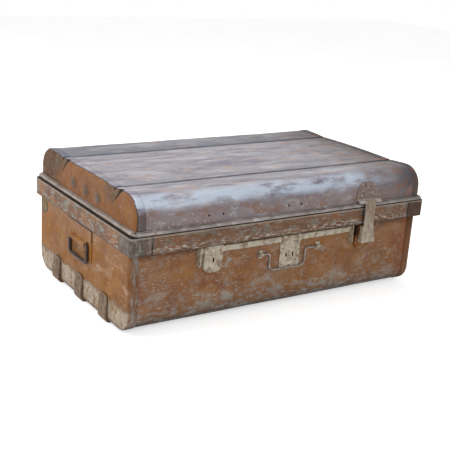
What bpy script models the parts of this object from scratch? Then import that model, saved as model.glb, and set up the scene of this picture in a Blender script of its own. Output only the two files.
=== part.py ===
"""Steel travelling trunk with a grooved lid, a sliding locking bar and drop handles.

The frame is +X along the length, -Y to the front and +Z up, with z = 0 under the skid straps and the
origin below the middle of the trunk. All sizes are in metres.
"""

import math

import bmesh
import bpy
import numpy as np
from mathutils import Matrix, Vector

# Sheet gauges and the clearance that touching pieces keep
SHEET = 0.0009
BAND_SHEET = 0.0012
FITTING = 0.0015
LEAF = 0.0018
GAP = 0.0003

# The rim band is the widest part of the trunk, and the body and the lid are measured in from it
BAND_LENGTH = 0.760
BAND_DEPTH = 0.476
BAND_HEIGHT = 0.039
BAND_CORNER = 0.006
BAND_RETURN = 0.047

# Body
SKID_HEIGHT = 0.006
BODY_HEIGHT = 0.208
BODY_END_INSET = 0.006
BODY_FRONT_INSET = 0.016
BODY_EDGE_RADIUS = 0.038
PAN_RADIUS = 0.005
PAN_FLANGE = 0.022

# Inner lip that guides the lid
LIP_DEPTH = 0.018
LIP_RISE = 0.012
LIP_END_STEP = 0.0125
LIP_FRONT_STEP = 0.0018
LIP_CORNER = 0.006

# Lid
LID_HEIGHT = 0.0747
LID_END_INSET = 0.0124
LID_FRONT_INSET = 0.0045
LID_EDGE_RADIUS = 0.045
LID_PAN_RADIUS = 0.009
LID_PAN_FLANGE = 0.022
GROOVE_FRONT_Y = -0.134
GROOVE_BACK_Y = 0.118
GROOVE_WIDTH = 0.008
GROOVE_DEPTH = 0.005
LOBE_FALL = 0.003
CROWN_RISE = 0.002
GUSSET_LENGTH = 0.0325
GUSSET_RECESS = 0.0185
GUSSET_WIDTH = 0.030
BOSS_PITCH = 0.060
BOSS_DROP = 0.0425
BOSS_WIDTH = 0.026
BOSS_HEIGHT = 0.028
BOSS_PROUD = 0.0045
EMPTY_HOLE = 0.0045
EMPTY_HOLE_PITCH = 0.035
EMPTY_HOLE_RISE = 0.0257

# Rolled bead round the lower edge of the lid, with its wire
BEAD_DIAMETER = 0.008
BEAD_TAIL = 0.0052
BEAD_SWEEP = 325
BEAD_CORNER_GAP = 0.0026
WIRE_CORNER = 0.005

# Skid straps
SKID_PITCH = 0.120
SKID_WIDTH = 0.035
SKID_TURN_UP = 0.060
SKID_TOP_THICKNESS = 0.003
SKID_TOP_RADIUS = 0.011
SKID_RIVET_DROP = 0.011
SKID_THIN_SHARE = 0.72
SKID_THICK_SHARE = 0.6

# Hinges on the back
HINGE_INSET = 0.160
HINGE_AXIS_OUT = 0.0085
HINGE_AXIS_RISE = 0.004
HINGE_WIDTH = 0.030
HINGE_PIN_RADIUS = 0.0015
HINGE_KNUCKLE = 0.010
HINGE_LOWER_LENGTH = 0.028
HINGE_UPPER_LENGTH = 0.019
HINGE_SEAT = 0.005
HINGE_STEP = 0.0065
HINGE_STEP_RISE = 0.002
HINGE_CURL = 108

# Locking bar, measured down from the rim band
BAR_DROP = 0.013
BAR_HEIGHT = 0.013
BAR_THICKNESS = 0.003
BAR_LEFT = -0.222
BAR_RIGHT = 0.180
BAR_TRAVEL = 0.012

# Catches under the bar
CATCH_LEFT_X = -0.186
CATCH_SPACING = 0.398
CATCH_WIDTH = 0.044
CATCH_HEIGHT = 0.057
CATCH_ABOVE_BAR = 0.010
CATCH_PROUD = 0.0075
CATCH_CORNER = 0.014
CATCH_SLOT_WIDTH = 0.004
CATCH_SLOT_HEIGHT = 0.010
CATCH_SLOT_DROP = 0.021
EAR_OFFSET = 0.034
EAR_PROUD = 0.013
EAR_HEIGHT = 0.043
EAR_ABOVE_BAR = 0.012
EAR_CORNER = 0.003

# Lock plate and the case behind it
LOCK_X = 0.012
LOCK_WIDTH = 0.052
LOCK_HEIGHT = 0.0765
LOCK_ABOVE_BAR = 0.0075
LOCK_CORNER = 0.004
KEY_SLOT_SPACING = 0.018
KEY_SLOT_WIDTH = 0.004
KEY_SLOT_HEIGHT = 0.009
KEY_SLOT_DROP = 0.038
KEY_HOLE = 0.005
KEY_HOLE_DROP = 0.063
CASE_WIDTH = 0.056
CASE_HEIGHT = 0.060
CASE_DEPTH = 0.012
CASE_DROP = 0.041
KEEPER_SPACING = 0.042
KEEPER_WIDTH = 0.007
KEEPER_FOOT = 0.005
KEEPER_EASE = 0.0008
KEEPER_SLOPE = 0.0014

# Wire bail on the front
FRONT_WIRE = 0.004
FRONT_BAIL_X = 0.005
FRONT_BAIL_WIDTH = 0.094
FRONT_BAIL_DROP = 0.038
FRONT_BAIL_CORNER = 0.012
FRONT_BAIL_BELOW_BAR = 0.028
FRONT_BAIL_OUT = 0.0042
FRONT_STUB_LEFT = 0.031
FRONT_STUB_RIGHT = 0.044
FRONT_STUB_CORNER = 0.006
CLIP_WIDTH = 0.010
CLIP_FOOT = 0.006
CLIP_INSET = 0.008
CLIP_SLOPE = 0.0012
CLIP_SHOULDER = 0.001

# Drop handles on the ends
HANDLE_WIDTH = 0.115
HANDLE_PLATE_HEIGHT = 0.073
HANDLE_PLATE_GAP = 0.002
HANDLE_ROD = 0.007
HANDLE_AXIS_DROP = 0.037
HANDLE_BAIL_WIDTH = 0.086
HANDLE_BAIL_DROP = 0.039
HANDLE_BAIL_CORNER = 0.009
HANDLE_BAIL_TOP_CORNER = 0.005
HANDLE_KNUCKLE = 0.074
CLAMP_WIDE_LOW = 0.0105
CLAMP_NARROW_TOP = 0.009
CLAMP_KNEE = 1.33
HANDLE_RIVET_SPACING = 0.041
HANDLE_RIVET_DROP = 0.021

# Hasp that is left on the lid
HASP_X = 0.208
HASP_AXIS_OUT = 0.0065
HASP_AXIS_RISE = 0.014
HASP_PIN_RADIUS = 0.0015
HASP_WIDTH = 0.062
HASP_TOP_ANGLE = 34
HASP_KNUCKLE = 0.016
HASP_STRAP_TOP = 0.030
HASP_STRAP_LOW = 0.028
HASP_STRAP_LENGTH = 0.056
HASP_STRAP_TAPER = 0.010
BOOT_HEIGHT = 0.037
BOOT_TOP_WIDTH = 0.032
BOOT_WIDTH = 0.038
BOOT_FLARE = 0.0037
BOOT_BEND = 0.008
BOOT_BAND_CLEARANCE = 0.0006
HASP_RIVET_SPACING = 0.034
HASP_RIVET_LOW = 0.012
HASP_RIVET_HIGH = 0.029

# Rivet heads
RIVET_RADIUS = 0.0032
RIVET_HEIGHT = 0.0018

# Facets of round forms
CORNER_STEPS = 4
EDGE_STEPS = 8
WIRE_SIDES = 2

# Sizes that follow
BAND_X = BAND_LENGTH / 2
BAND_Y = BAND_DEPTH / 2
RIM_Z = SKID_HEIGHT + BODY_HEIGHT
BAND_BASE_Z = RIM_Z - BAND_HEIGHT
BODY_X = BAND_X - BODY_END_INSET
BODY_Y = BAND_Y - BODY_FRONT_INSET
BODY_WRAP_Y = BODY_Y - SHEET - GAP
BODY_WRAP_X = BODY_X - PAN_RADIUS - GAP
LID_X = BAND_X - LID_END_INSET
LID_Y = BAND_Y - LID_FRONT_INSET
LID_WRAP_Y = LID_Y - SHEET - GAP
LID_WRAP_X = LID_X - LID_PAN_RADIUS - GAP
LID_BASE_Z = RIM_Z + GAP
LID_TOP_Z = LID_BASE_Z + LID_HEIGHT
BEAD_RADIUS = BEAD_DIAMETER / 2
BEAD_Y = LID_WRAP_Y + GAP + BEAD_RADIUS
BEAD_X = LID_X + GAP + BEAD_RADIUS
BEAD_Z = LID_BASE_Z + BEAD_RADIUS
BAR_Z = BAND_BASE_Z - BAR_DROP
SKID_THIN_Z = SKID_TURN_UP * SKID_THIN_SHARE
SKID_THICK_Z = SKID_TURN_UP * SKID_THICK_SHARE
BAR_OUT = 2 * GAP + BAND_SHEET + BAR_THICKNESS / 2
HINGE_Y = BAND_Y + HINGE_AXIS_OUT
HINGE_Z = RIM_Z + HINGE_AXIS_RISE
HASP_Y = -(BAND_Y + HASP_AXIS_OUT)
HASP_Z = RIM_Z + HASP_AXIS_RISE
HANDLE_Z = BAND_BASE_Z - HANDLE_PLATE_GAP - HANDLE_AXIS_DROP
HANDLE_OUT = 2.5 * GAP + FITTING + HANDLE_ROD / 2
FRONT_BAIL_Z = BAR_Z - FRONT_BAIL_BELOW_BAR


def clear_scene():
    """Remove the objects that the file holds."""
    for thing in list(bpy.data.objects):
        bpy.data.objects.remove(thing, do_unlink=True)


def material(name, colour, roughness, metallic):
    """A plain Principled material."""
    finish = bpy.data.materials.new(name)
    finish.use_nodes = True
    shader = finish.node_tree.nodes["Principled BSDF"]
    shader.inputs["Base Color"].default_value = (*colour, 1.0)
    shader.inputs["Roughness"].default_value = roughness
    shader.inputs["Metallic"].default_value = metallic
    return finish


def arc(centre, radius, start, end, steps):
    """Points on an arc from start to end, in degrees, counted anticlockwise from the first axis."""
    angles = np.radians(np.linspace(start, end, steps + 1))
    return np.column_stack([centre[0] + radius * np.cos(angles), centre[1] + radius * np.sin(angles)])


def offset(path, distance):
    """Move an open path to its left by a distance, with mitred corners."""
    path = np.asarray(path, dtype=float)
    steps = np.diff(path, axis=0)
    normals = np.column_stack([-steps[:, 1], steps[:, 0]]) / np.linalg.norm(steps, axis=1)[:, None]
    both = np.vstack([normals[:1], normals]) + np.vstack([normals, normals[-1:]])
    return path + both * (2 * distance / (both ** 2).sum(axis=1))[:, None]


def ribbon(path, thickness):
    """The closed outline of a sheet that lies to the left of its path."""
    return np.vstack([path, offset(path, thickness)[::-1]])


def rectangle(width, low, high, corner=0.0, low_corner=None):
    """A closed outline, centred across, with its upper and lower corners rounded."""
    low_corner = corner if low_corner is None else low_corner
    half = width / 2
    points = []
    for radius, x, y, start in (
        (low_corner, half - low_corner, low + low_corner, -90),
        (corner, half - corner, high - corner, 0),
        (corner, corner - half, high - corner, 90),
        (low_corner, low_corner - half, low + low_corner, 180),
    ):
        steps = CORNER_STEPS if radius > 0 else 0
        angles = np.radians(np.linspace(start, start + 90, steps + 1))
        points += [(x + radius * math.cos(a), y + radius * math.sin(a)) for a in angles]
    return np.array(points)


def loft(rings, closed=False):
    """Skin a row of rings, each with the same number of points, into one closed solid."""
    body = bmesh.new()
    rows = [[body.verts.new(Vector(point)) for point in ring] for ring in rings]
    pairs = list(zip(rows, rows[1:]))
    if closed:
        pairs.append((rows[-1], rows[0]))
    for near, far in pairs:
        for i in range(len(near)):
            j = (i + 1) % len(near)
            body.faces.new((near[i], near[j], far[j], far[i]))
    if not closed:
        body.faces.new(rows[0][::-1])
        body.faces.new(rows[-1])
    bmesh.ops.recalc_face_normals(body, faces=body.faces)
    return body


def as_object(body):
    """Hold a bmesh in a scratch object, ready to be carved."""
    mesh = bpy.data.meshes.new("solid")
    body.to_mesh(mesh)
    body.free()
    solid = bpy.data.objects.new("solid", mesh)
    bpy.context.scene.collection.objects.link(solid)
    return solid


def prism(outline, axis, low, high):
    """Extrude a closed outline along X, Y or Z; its two columns are the other axes in order."""
    def ring(value):
        return np.insert(np.asarray(outline, dtype=float), axis, value, axis=1)
    return as_object(loft([ring(low), ring(high)]))


def box(low, high):
    """A block between two corners."""
    outline = [(low[0], low[1]), (high[0], low[1]), (high[0], high[1]), (low[0], high[1])]
    return prism(outline, 2, low[2], high[2])


def combine(target, tool, operation="DIFFERENCE"):
    """Apply a Boolean with a scratch tool, which is removed."""
    modifier = target.modifiers.new("combine", "BOOLEAN")
    modifier.operation = operation
    modifier.solver = "EXACT"
    modifier.object = tool
    depsgraph = bpy.context.evaluated_depsgraph_get()
    result = bpy.data.meshes.new_from_object(target.evaluated_get(depsgraph))
    target.modifiers.clear()
    target.data = result
    bpy.data.objects.remove(tool, do_unlink=True)
    return target


def pivot(name, place, parent=None):
    """An empty on a joint's axis."""
    empty = bpy.data.objects.new(name, None)
    bpy.context.scene.collection.objects.link(empty)
    empty.empty_display_size = 0.02
    empty.location = place
    if parent:
        empty.parent = parent
        empty.location = Vector(place) - parent.matrix_world.translation
    bpy.context.view_layer.update()
    return empty


def place(solid, name, finish, location=(0, 0, 0), turn=0, joint=None):
    """Name a finished solid, shade it, and put it in the trunk's frame or under its joint."""
    solid.name = name
    solid.data.name = name
    solid.data.materials.clear()
    solid.data.materials.append(finish)
    solid.data.shade_smooth()
    solid.data.set_sharp_from_angle(angle=math.radians(28))
    solid.location = location
    solid.rotation_euler = (0, 0, math.radians(turn))
    if joint:
        solid.parent = joint
        solid.location = Vector(location) - joint.matrix_world.translation
    return solid


def copy_of(solid):
    """A second object for a repeated piece, sharing its mesh."""
    twin = bpy.data.objects.new(solid.name, solid.data)
    bpy.context.scene.collection.objects.link(twin)
    return twin


def strip(path, thickness, half_widths):
    """A flat strip bent along a path of (out, z), centred on the path; out runs to -Y."""
    path = np.asarray(path, dtype=float)
    front = offset(path, -thickness / 2)
    back = offset(path, thickness / 2)
    rings = []
    for (a, b), (c, d), half in zip(front, back, np.broadcast_to(half_widths, len(path))):
        rings.append([(-half, -a, b), (half, -a, b), (half, -c, d), (-half, -c, d)])
    return as_object(loft(rings))


def rivet():
    """A domed rivet head on the wall at y = 0."""
    turns = np.radians(np.arange(0, 360, 36))
    rings = []
    for share, rise in ((1.0, 0.0), (0.9, 0.45), (0.55, 0.88), (0.2, 1.0)):
        radius = RIVET_RADIUS * share
        y = -GAP - rise * RIVET_HEIGHT
        rings.append([(radius * math.cos(a), y, radius * math.sin(a)) for a in turns])
    return as_object(loft(rings))


def rod(radius, axis, low, high, centre=(0, 0), sides=10):
    """A round bar along X, Y or Z."""
    return prism(arc(centre, radius, 0, 360 - 360 / sides, sides - 1), axis, low, high)


def wire(points, diameter, cyclic=False):
    """A round wire bent along a list of points."""
    curve = bpy.data.curves.new("wire", "CURVE")
    curve.dimensions = "3D"
    curve.bevel_depth = diameter / 2
    curve.bevel_resolution = WIRE_SIDES
    curve.use_fill_caps = not cyclic
    spline = curve.splines.new("POLY")
    spline.points.add(len(points) - 1)
    for point, place_at in zip(spline.points, points):
        point.co = (*place_at, 1.0)
    spline.use_cyclic_u = cyclic
    carrier = bpy.data.objects.new("wire", curve)
    bpy.context.scene.collection.objects.link(carrier)
    depsgraph = bpy.context.evaluated_depsgraph_get()
    mesh = bpy.data.meshes.new_from_object(carrier.evaluated_get(depsgraph))
    bpy.data.objects.remove(carrier, do_unlink=True)
    body = bmesh.new()
    body.from_mesh(mesh)
    bmesh.ops.remove_doubles(body, verts=body.verts, dist=0.00001)
    bmesh.ops.recalc_face_normals(body, faces=body.faces)
    return as_object(body)


def body_profile():
    """Section of the body from the front rim, round the bottom to the back rim, as (y, z)."""
    low = SKID_HEIGHT + BODY_EDGE_RADIUS
    side = BODY_Y - BODY_EDGE_RADIUS
    return np.vstack([
        [(-BODY_Y, RIM_Z)],
        arc((-side, low), BODY_EDGE_RADIUS, 180, 270, EDGE_STEPS),
        arc((side, low), BODY_EDGE_RADIUS, 270, 360, EDGE_STEPS),
        [(BODY_Y, RIM_Z)],
    ])


def lobe(start, end, steps):
    """Points of one lobe of the lid between two (y, z) ends, on a curve that starts level."""
    share = np.linspace(0, 1, steps + 1)[1:-1]
    y = start[0] + (end[0] - start[0]) * share
    z = start[1] + (end[1] - start[1]) * share ** 2
    return np.column_stack([y, z])


def lid_profile():
    """Section of the lid from the back edge, over the top to the front edge, as (y, z)."""
    side = LID_Y - LID_EDGE_RADIUS
    high = LID_TOP_Z - LID_EDGE_RADIUS
    shoulder = LID_TOP_Z - LOBE_FALL
    half = GROOVE_WIDTH / 2
    back = (GROOVE_BACK_Y + half, shoulder)
    front = (GROOVE_FRONT_Y - half, shoulder)
    inner_back = (GROOVE_BACK_Y - half, shoulder)
    inner_front = (GROOVE_FRONT_Y + half, shoulder)
    middle = (inner_back[0] + inner_front[0]) / 2
    crown = (middle, shoulder + CROWN_RISE)
    return np.vstack([
        [(LID_Y, LID_BASE_Z)],
        arc((side, high), LID_EDGE_RADIUS, 0, 90, EDGE_STEPS),
        lobe((side, LID_TOP_Z), back, 3),
        [back, (GROOVE_BACK_Y, shoulder - GROOVE_DEPTH), inner_back],
        lobe(crown, inner_back, 3)[::-1],
        [crown],
        lobe(crown, inner_front, 3),
        [inner_front, (GROOVE_FRONT_Y, shoulder - GROOVE_DEPTH), front],
        lobe((-side, LID_TOP_Z), front, 3)[::-1],
        arc((-side, high), LID_EDGE_RADIUS, 90, 180, EDGE_STEPS),
        [(-LID_Y, LID_BASE_Z)],
    ])


def pan_form(path, side, start, face, radius, inset, open_by):
    """The solid that fills an end pan: the profile carried to the end and rounded on to its face."""
    path = np.array(path)
    path[0, 1] += open_by
    path[-1, 1] += open_by
    turns = np.radians(np.linspace(0, 90, CORNER_STEPS + 1))
    stations = [(start, 0.0)]
    stations += [(face - radius + radius * math.sin(a), radius * (1 - math.cos(a))) for a in turns]
    rings = [np.insert(offset(path, inset + more), 0, side * x, axis=1) for x, more in stations]
    return as_object(loft(rings))


def end_pan(path, side, face, radius, flange, open_by, shape=None):
    """A pressed end: a thin pan with a rounded edge, whose flange laps over the wrapped sheet."""
    outer = pan_form(path, side, face - flange, face, radius, 0.0, 0.0)
    inner = pan_form(path, side, face - flange - 0.01, face - SHEET, radius - SHEET, SHEET, open_by)
    if shape:
        shape(outer, side, 0.0)
        shape(inner, side, SHEET)
    return combine(outer, inner)


def gusset_wedge(side, groove_y, behind):
    """The three-sided wedge that folds a lid end in below a groove, moved in by a sheet's thickness."""
    foot = Vector((LID_X, 0, LID_TOP_Z - LOBE_FALL - GUSSET_LENGTH))
    crease = Vector((-GUSSET_RECESS, 0, GUSSET_LENGTH - GROOVE_DEPTH))
    edge = Vector((0, GUSSET_WIDTH, GUSSET_LENGTH))
    normal = crease.cross(edge).normalized()
    inward = Vector((-crease.z, 0, crease.x)).normalized()
    if inward.x > 0:
        inward.negate()
    shift = inward * (behind / abs(inward.dot(normal)))
    top = LID_TOP_Z + 0.02
    clear = LID_X + 0.008
    low = foot + crease * ((foot.x + shift.x - clear) / GUSSET_RECESS) + shift
    high = foot + crease * ((top - foot.z - shift.z) / crease.z) + shift
    reach = (top - low.z) / GUSSET_LENGTH * GUSSET_WIDTH
    corners = [low, high, Vector((clear, reach, top)), Vector((clear, -reach, top))]
    wedge = bmesh.new()
    verts = [wedge.verts.new((side * c.x, groove_y + c.y, c.z)) for c in corners]
    for a, b, c in ((0, 1, 2), (0, 2, 3), (0, 3, 1), (1, 3, 2)):
        wedge.faces.new((verts[a], verts[b], verts[c]))
    bmesh.ops.recalc_face_normals(wedge, faces=wedge.faces)
    return as_object(wedge)


def boss(side, y, less):
    """A domed form half sunk in the face of a lid end."""
    body = bmesh.new()
    size = Matrix.Diagonal((BOSS_PROUD - less, BOSS_WIDTH / 2 - less, BOSS_HEIGHT / 2 - less, 1.0))
    centre = Matrix.Translation((side * (LID_X - less), y, LID_TOP_Z - BOSS_DROP))
    upright = Matrix.Rotation(math.radians(90), 4, "Y")
    bmesh.ops.create_uvsphere(body, u_segments=12, v_segments=8, radius=1.0, matrix=centre @ size @ upright)
    return as_object(body)


def shape_lid_end(solid, side, behind):
    """Fold the gussets into a lid end and raise its three bosses."""
    for groove_y in (GROOVE_FRONT_Y, GROOVE_BACK_Y):
        combine(solid, gusset_wedge(side, groove_y, behind))
    middle = (GROOVE_FRONT_Y + GROOVE_BACK_Y) / 2
    for step in (-1, 0, 1):
        combine(solid, boss(side, middle + step * BOSS_PITCH, behind), "UNION")


def build_body(finish):
    """The body's wrapped sheet, cut for the lock, and its two end pans."""
    profile = body_profile()
    wrap = prism(ribbon(offset(profile, SHEET + GAP), SHEET), 0, -BODY_WRAP_X, BODY_WRAP_X)
    for hole in lock_holes():
        hole.location = (LOCK_X, -BODY_WRAP_Y, BAR_Z)
        combine(wrap, hole)
    place(wrap, "body_wrap", finish)
    for name, side in (("body_end_left", -1), ("body_end_right", 1)):
        pan = end_pan(profile, side, BODY_X, PAN_RADIUS, PAN_FLANGE, 0.01)
        place(pan, name, finish)


def build_lid(finish, joint):
    """The lid's wrapped sheet with its grooves and empty rivet holes, and its two end pans."""
    profile = lid_profile()
    wrap = prism(ribbon(offset(profile, SHEET + GAP), SHEET), 0, -LID_WRAP_X, LID_WRAP_X)
    for side in (-1, 1):
        for groove_y in (GROOVE_FRONT_Y, GROOVE_BACK_Y):
            combine(wrap, gusset_wedge(side, groove_y, SHEET + GAP))
    for centre in (CATCH_LEFT_X - 0.002, LOCK_X - 0.004):
        for half in (-0.5, 0.5):
            x = centre + half * EMPTY_HOLE_PITCH
            z = LID_BASE_Z + EMPTY_HOLE_RISE
            combine(wrap, rod(EMPTY_HOLE / 2, 1, -LID_Y, -LID_Y + 0.02, (x, z)))
    place(wrap, "lid_wrap", finish, joint=joint)
    for name, side in (("lid_end_left", -1), ("lid_end_right", 1)):
        pan = end_pan(profile, side, LID_X, LID_PAN_RADIUS, LID_PAN_FLANGE, -0.01, shape_lid_end)
        for edge in (-1, 1):
            room = sorted((edge * (LID_WRAP_Y + GAP / 2), edge * (LID_Y + 0.01)))
            low = min(side * (LID_X - LID_PAN_FLANGE - 0.01), side * LID_X)
            high = max(side * (LID_X - LID_PAN_FLANGE - 0.01), side * LID_X)
            tail_top = BEAD_Z + BEAD_TAIL + GAP
            combine(pan, box((low, room[0], LID_BASE_Z - 0.01), (high, room[1], tail_top)))
        place(pan, name, finish, joint=joint)


def plan_station(turn, half_x, half_y, radius):
    """A point on a rounded corner in plan, for a turn of 0 to 90 degrees from the front to the end."""
    angle = math.radians(turn)
    x = half_x - radius + radius * math.sin(angle)
    y = half_y - radius + radius * math.cos(angle)
    return x, y


def ring_solid(section):
    """Carry a section of (half length, half depth, z, corner radius) points round all four corners."""
    rings = []
    there = np.linspace(0, 90, CORNER_STEPS + 1)
    back = there[::-1]
    for sign_x, sign_y, order in ((1, -1, there), (1, 1, back), (-1, 1, there), (-1, -1, back)):
        for turn in order:
            ring = []
            for half_x, half_y, z, radius in section:
                x, y = plan_station(turn, half_x, half_y, radius)
                ring.append((sign_x * x, sign_y * y, z))
            rings.append(ring)
    return as_object(loft(rings, closed=True))


def band_section():
    """The rim band's channel section, as insets from the band's outside and heights."""
    near = BAND_BASE_Z
    low = BAND_BASE_Z + BAND_SHEET
    high = RIM_Z - BAND_SHEET
    end = BODY_END_INSET - GAP
    front = BODY_FRONT_INSET - GAP
    seat = PAN_RADIUS + GAP
    inner = BAND_CORNER - BAND_SHEET
    return [
        (0.0, 0.0, near, BAND_CORNER),
        (0.0, 0.0, RIM_Z, BAND_CORNER),
        (end, front, RIM_Z, seat),
        (end, front, high, seat),
        (BAND_SHEET, BAND_SHEET, high, inner),
        (BAND_SHEET, BAND_SHEET, low, inner),
        (end, front, low, seat),
        (end, front, near, seat),
    ]


def build_band(finish):
    """The proud rim band: straight front and back lengths, and end lengths with corner returns."""
    joint_x = BAND_X - BAND_RETURN
    outline = [(inset, z) for _, inset, z, _ in band_section()]
    for name, side in (("band_front", -1), ("band_back", 1)):
        section = [(side * (BAND_Y - inset), z) for inset, z in outline]
        place(prism(section, 0, GAP / 2 - joint_x, joint_x - GAP / 2), name, finish)
    turns = np.linspace(0, 90, CORNER_STEPS + 1)
    for name, side in (("band_end_left", -1), ("band_end_right", 1)):
        rings = []
        for sign_y, order in ((-1, turns), (1, turns[::-1])):
            corner = []
            for turn in order:
                ring = []
                for inset_x, inset_y, z, radius in band_section():
                    x, y = plan_station(turn, BAND_X - inset_x, BAND_Y - inset_y, radius)
                    ring.append((side * x, sign_y * y, z))
                corner.append(ring)
            butt = [(side * (joint_x + GAP / 2), sign_y * (BAND_Y - inset), z) for inset, z in outline]
            rings += [butt] + corner if sign_y < 0 else corner + [butt]
        place(as_object(loft(rings)), name, finish)


def build_lip(finish):
    """The Z-section lip inside the rim, which stands up into the lid."""
    x = BODY_X - SHEET - GAP
    y = BODY_WRAP_Y - SHEET - GAP
    step_x = x - LIP_END_STEP
    step_y = y - LIP_FRONT_STEP
    wall = BAND_SHEET
    section = [
        (x, y, RIM_Z - LIP_DEPTH, LIP_CORNER),
        (x, y, RIM_Z, LIP_CORNER),
        (step_x, step_y, RIM_Z, LIP_CORNER),
        (step_x, step_y, RIM_Z + LIP_RISE, LIP_CORNER),
        (step_x - wall, step_y - wall, RIM_Z + LIP_RISE, LIP_CORNER - wall),
        (step_x - wall, step_y - wall, RIM_Z - wall, LIP_CORNER - wall),
        (x - wall, y - wall, RIM_Z - wall, LIP_CORNER - wall),
        (x - wall, y - wall, RIM_Z - LIP_DEPTH, LIP_CORNER - wall),
    ]
    place(ring_solid(section), "rim_lip", finish)


def curl_section():
    """The bead's rolled sheet as (out, z) from the bead's centre, tail first."""
    middle = BEAD_RADIUS - SHEET / 2
    return np.vstack([[(-middle, BEAD_TAIL)], arc((0, 0), middle, 180, 180 + BEAD_SWEEP, 13)])


def build_bead(sheet_finish, wire_finish, joint):
    """Four rolled strips round the lid's lower edge and the wire that they close on."""
    outline = ribbon(offset(curl_section(), -SHEET / 2), SHEET)
    reach_x = BEAD_X - BEAD_RADIUS - 2 * GAP
    reach_y = BEAD_Y - BEAD_RADIUS - GAP - BEAD_CORNER_GAP + 2 * GAP
    for name, side in (("lid_bead_front", -1), ("lid_bead_back", 1)):
        section = [(side * (BEAD_Y + out), BEAD_Z + z) for out, z in outline]
        place(prism(section, 0, -reach_x, reach_x), name, sheet_finish, joint=joint)
    for name, side in (("lid_bead_left", -1), ("lid_bead_right", 1)):
        section = [(side * (BEAD_X + out), BEAD_Z + z) for out, z in outline]
        place(prism(section, 1, -reach_y, reach_y), name, sheet_finish, joint=joint)
    points = []
    there = np.linspace(0, 90, 6)
    back = there[::-1]
    for sign_x, sign_y, order in ((1, -1, there), (1, 1, back), (-1, 1, there), (-1, -1, back)):
        for turn in order:
            x, y = plan_station(turn, BEAD_X, BEAD_Y, WIRE_CORNER)
            points.append((sign_x * x, sign_y * y, BEAD_Z))
    core = wire(points, BEAD_DIAMETER - 2 * (SHEET + GAP), cyclic=True)
    place(core, "lid_rim_wire", wire_finish, joint=joint)


def skid_form(less, over):
    """A skid strap bent round the bottom; less draws its skin in, over carries its inner side inwards."""
    wall = BODY_X + GAP - over
    under = SKID_HEIGHT - GAP + over
    raised = SKID_HEIGHT + SHEET + over
    step = BODY_X - PAN_FLANGE - GAP
    seat = PAN_RADIUS + GAP - over
    outer_x = BAND_X - less
    top_x = BODY_X + GAP + SKID_TOP_THICKNESS - less
    top = SKID_TURN_UP - less
    round_low = SKID_HEIGHT + PAN_RADIUS - less
    half = SKID_WIDTH / 2 - less
    rings = []
    for angle in np.radians((90, 60, 30, 0)):
        z = top - SKID_TOP_RADIUS + SKID_TOP_RADIUS * math.sin(angle)
        rings.append((half - SKID_TOP_RADIUS + SKID_TOP_RADIUS * math.cos(angle), (wall, z), (top_x, z)))
    rings.append((half, (wall, SKID_THIN_Z), (top_x, SKID_THIN_Z)))
    rings.append((half, (wall, SKID_THICK_Z), (outer_x, SKID_THICK_Z)))
    for angle in np.radians((0, 30, 60, 90)):
        inner = (wall - seat + seat * math.cos(angle), under + seat - seat * math.sin(angle))
        outer = (outer_x - round_low + round_low * math.cos(angle),
                 less + round_low - round_low * math.sin(angle))
        rings.append((half, inner, outer))
    rings.append((half, (step, under), (step, less)))
    rings.append((half, (step - SHEET, raised), (step - SHEET, less)))
    both = rings + [(w, (-i[0], i[1]), (-o[0], o[1])) for w, i, o in rings[::-1]]
    solid = [[(i[0], -w, i[1]), (i[0], w, i[1]), (o[0], w, o[1]), (o[0], -w, o[1])] for w, i, o in both]
    return as_object(loft(solid))


def build_skids(finish, rivet_finish):
    """Three pressed straps under the bottom, hollow towards the body and turned up at both ends."""
    strap = combine(skid_form(0.0, 0.0), skid_form(FITTING, 0.003))
    head = rivet()
    skin = BODY_X + GAP + SKID_TOP_THICKNESS
    for name, step in (("front", -1), ("middle", 0), ("back", 1)):
        place(copy_of(strap), "skid_" + name, finish, (0, step * SKID_PITCH, 0))
        for end, side in (("left", -1), ("right", 1)):
            spot = (side * skin, step * SKID_PITCH, SKID_TURN_UP - SKID_RIVET_DROP)
            place(copy_of(head), "skid_rivet_" + name + "_" + end, rivet_finish, spot, turn=side * 90)
    bpy.data.objects.remove(strap)
    bpy.data.objects.remove(head)


def keep_knuckles(solid, knuckles, half, low, high, reach):
    """Between two heights, cut a leaf away across its width, apart from its own knuckles."""
    edges = [-half] + [edge for knuckle in knuckles for edge in knuckle] + [half]
    for left, right in zip(edges[::2], edges[1::2]):
        if right - left > GAP:
            combine(solid, box((left, -reach[1], low), (right, -reach[0], high)))
    return solid


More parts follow.
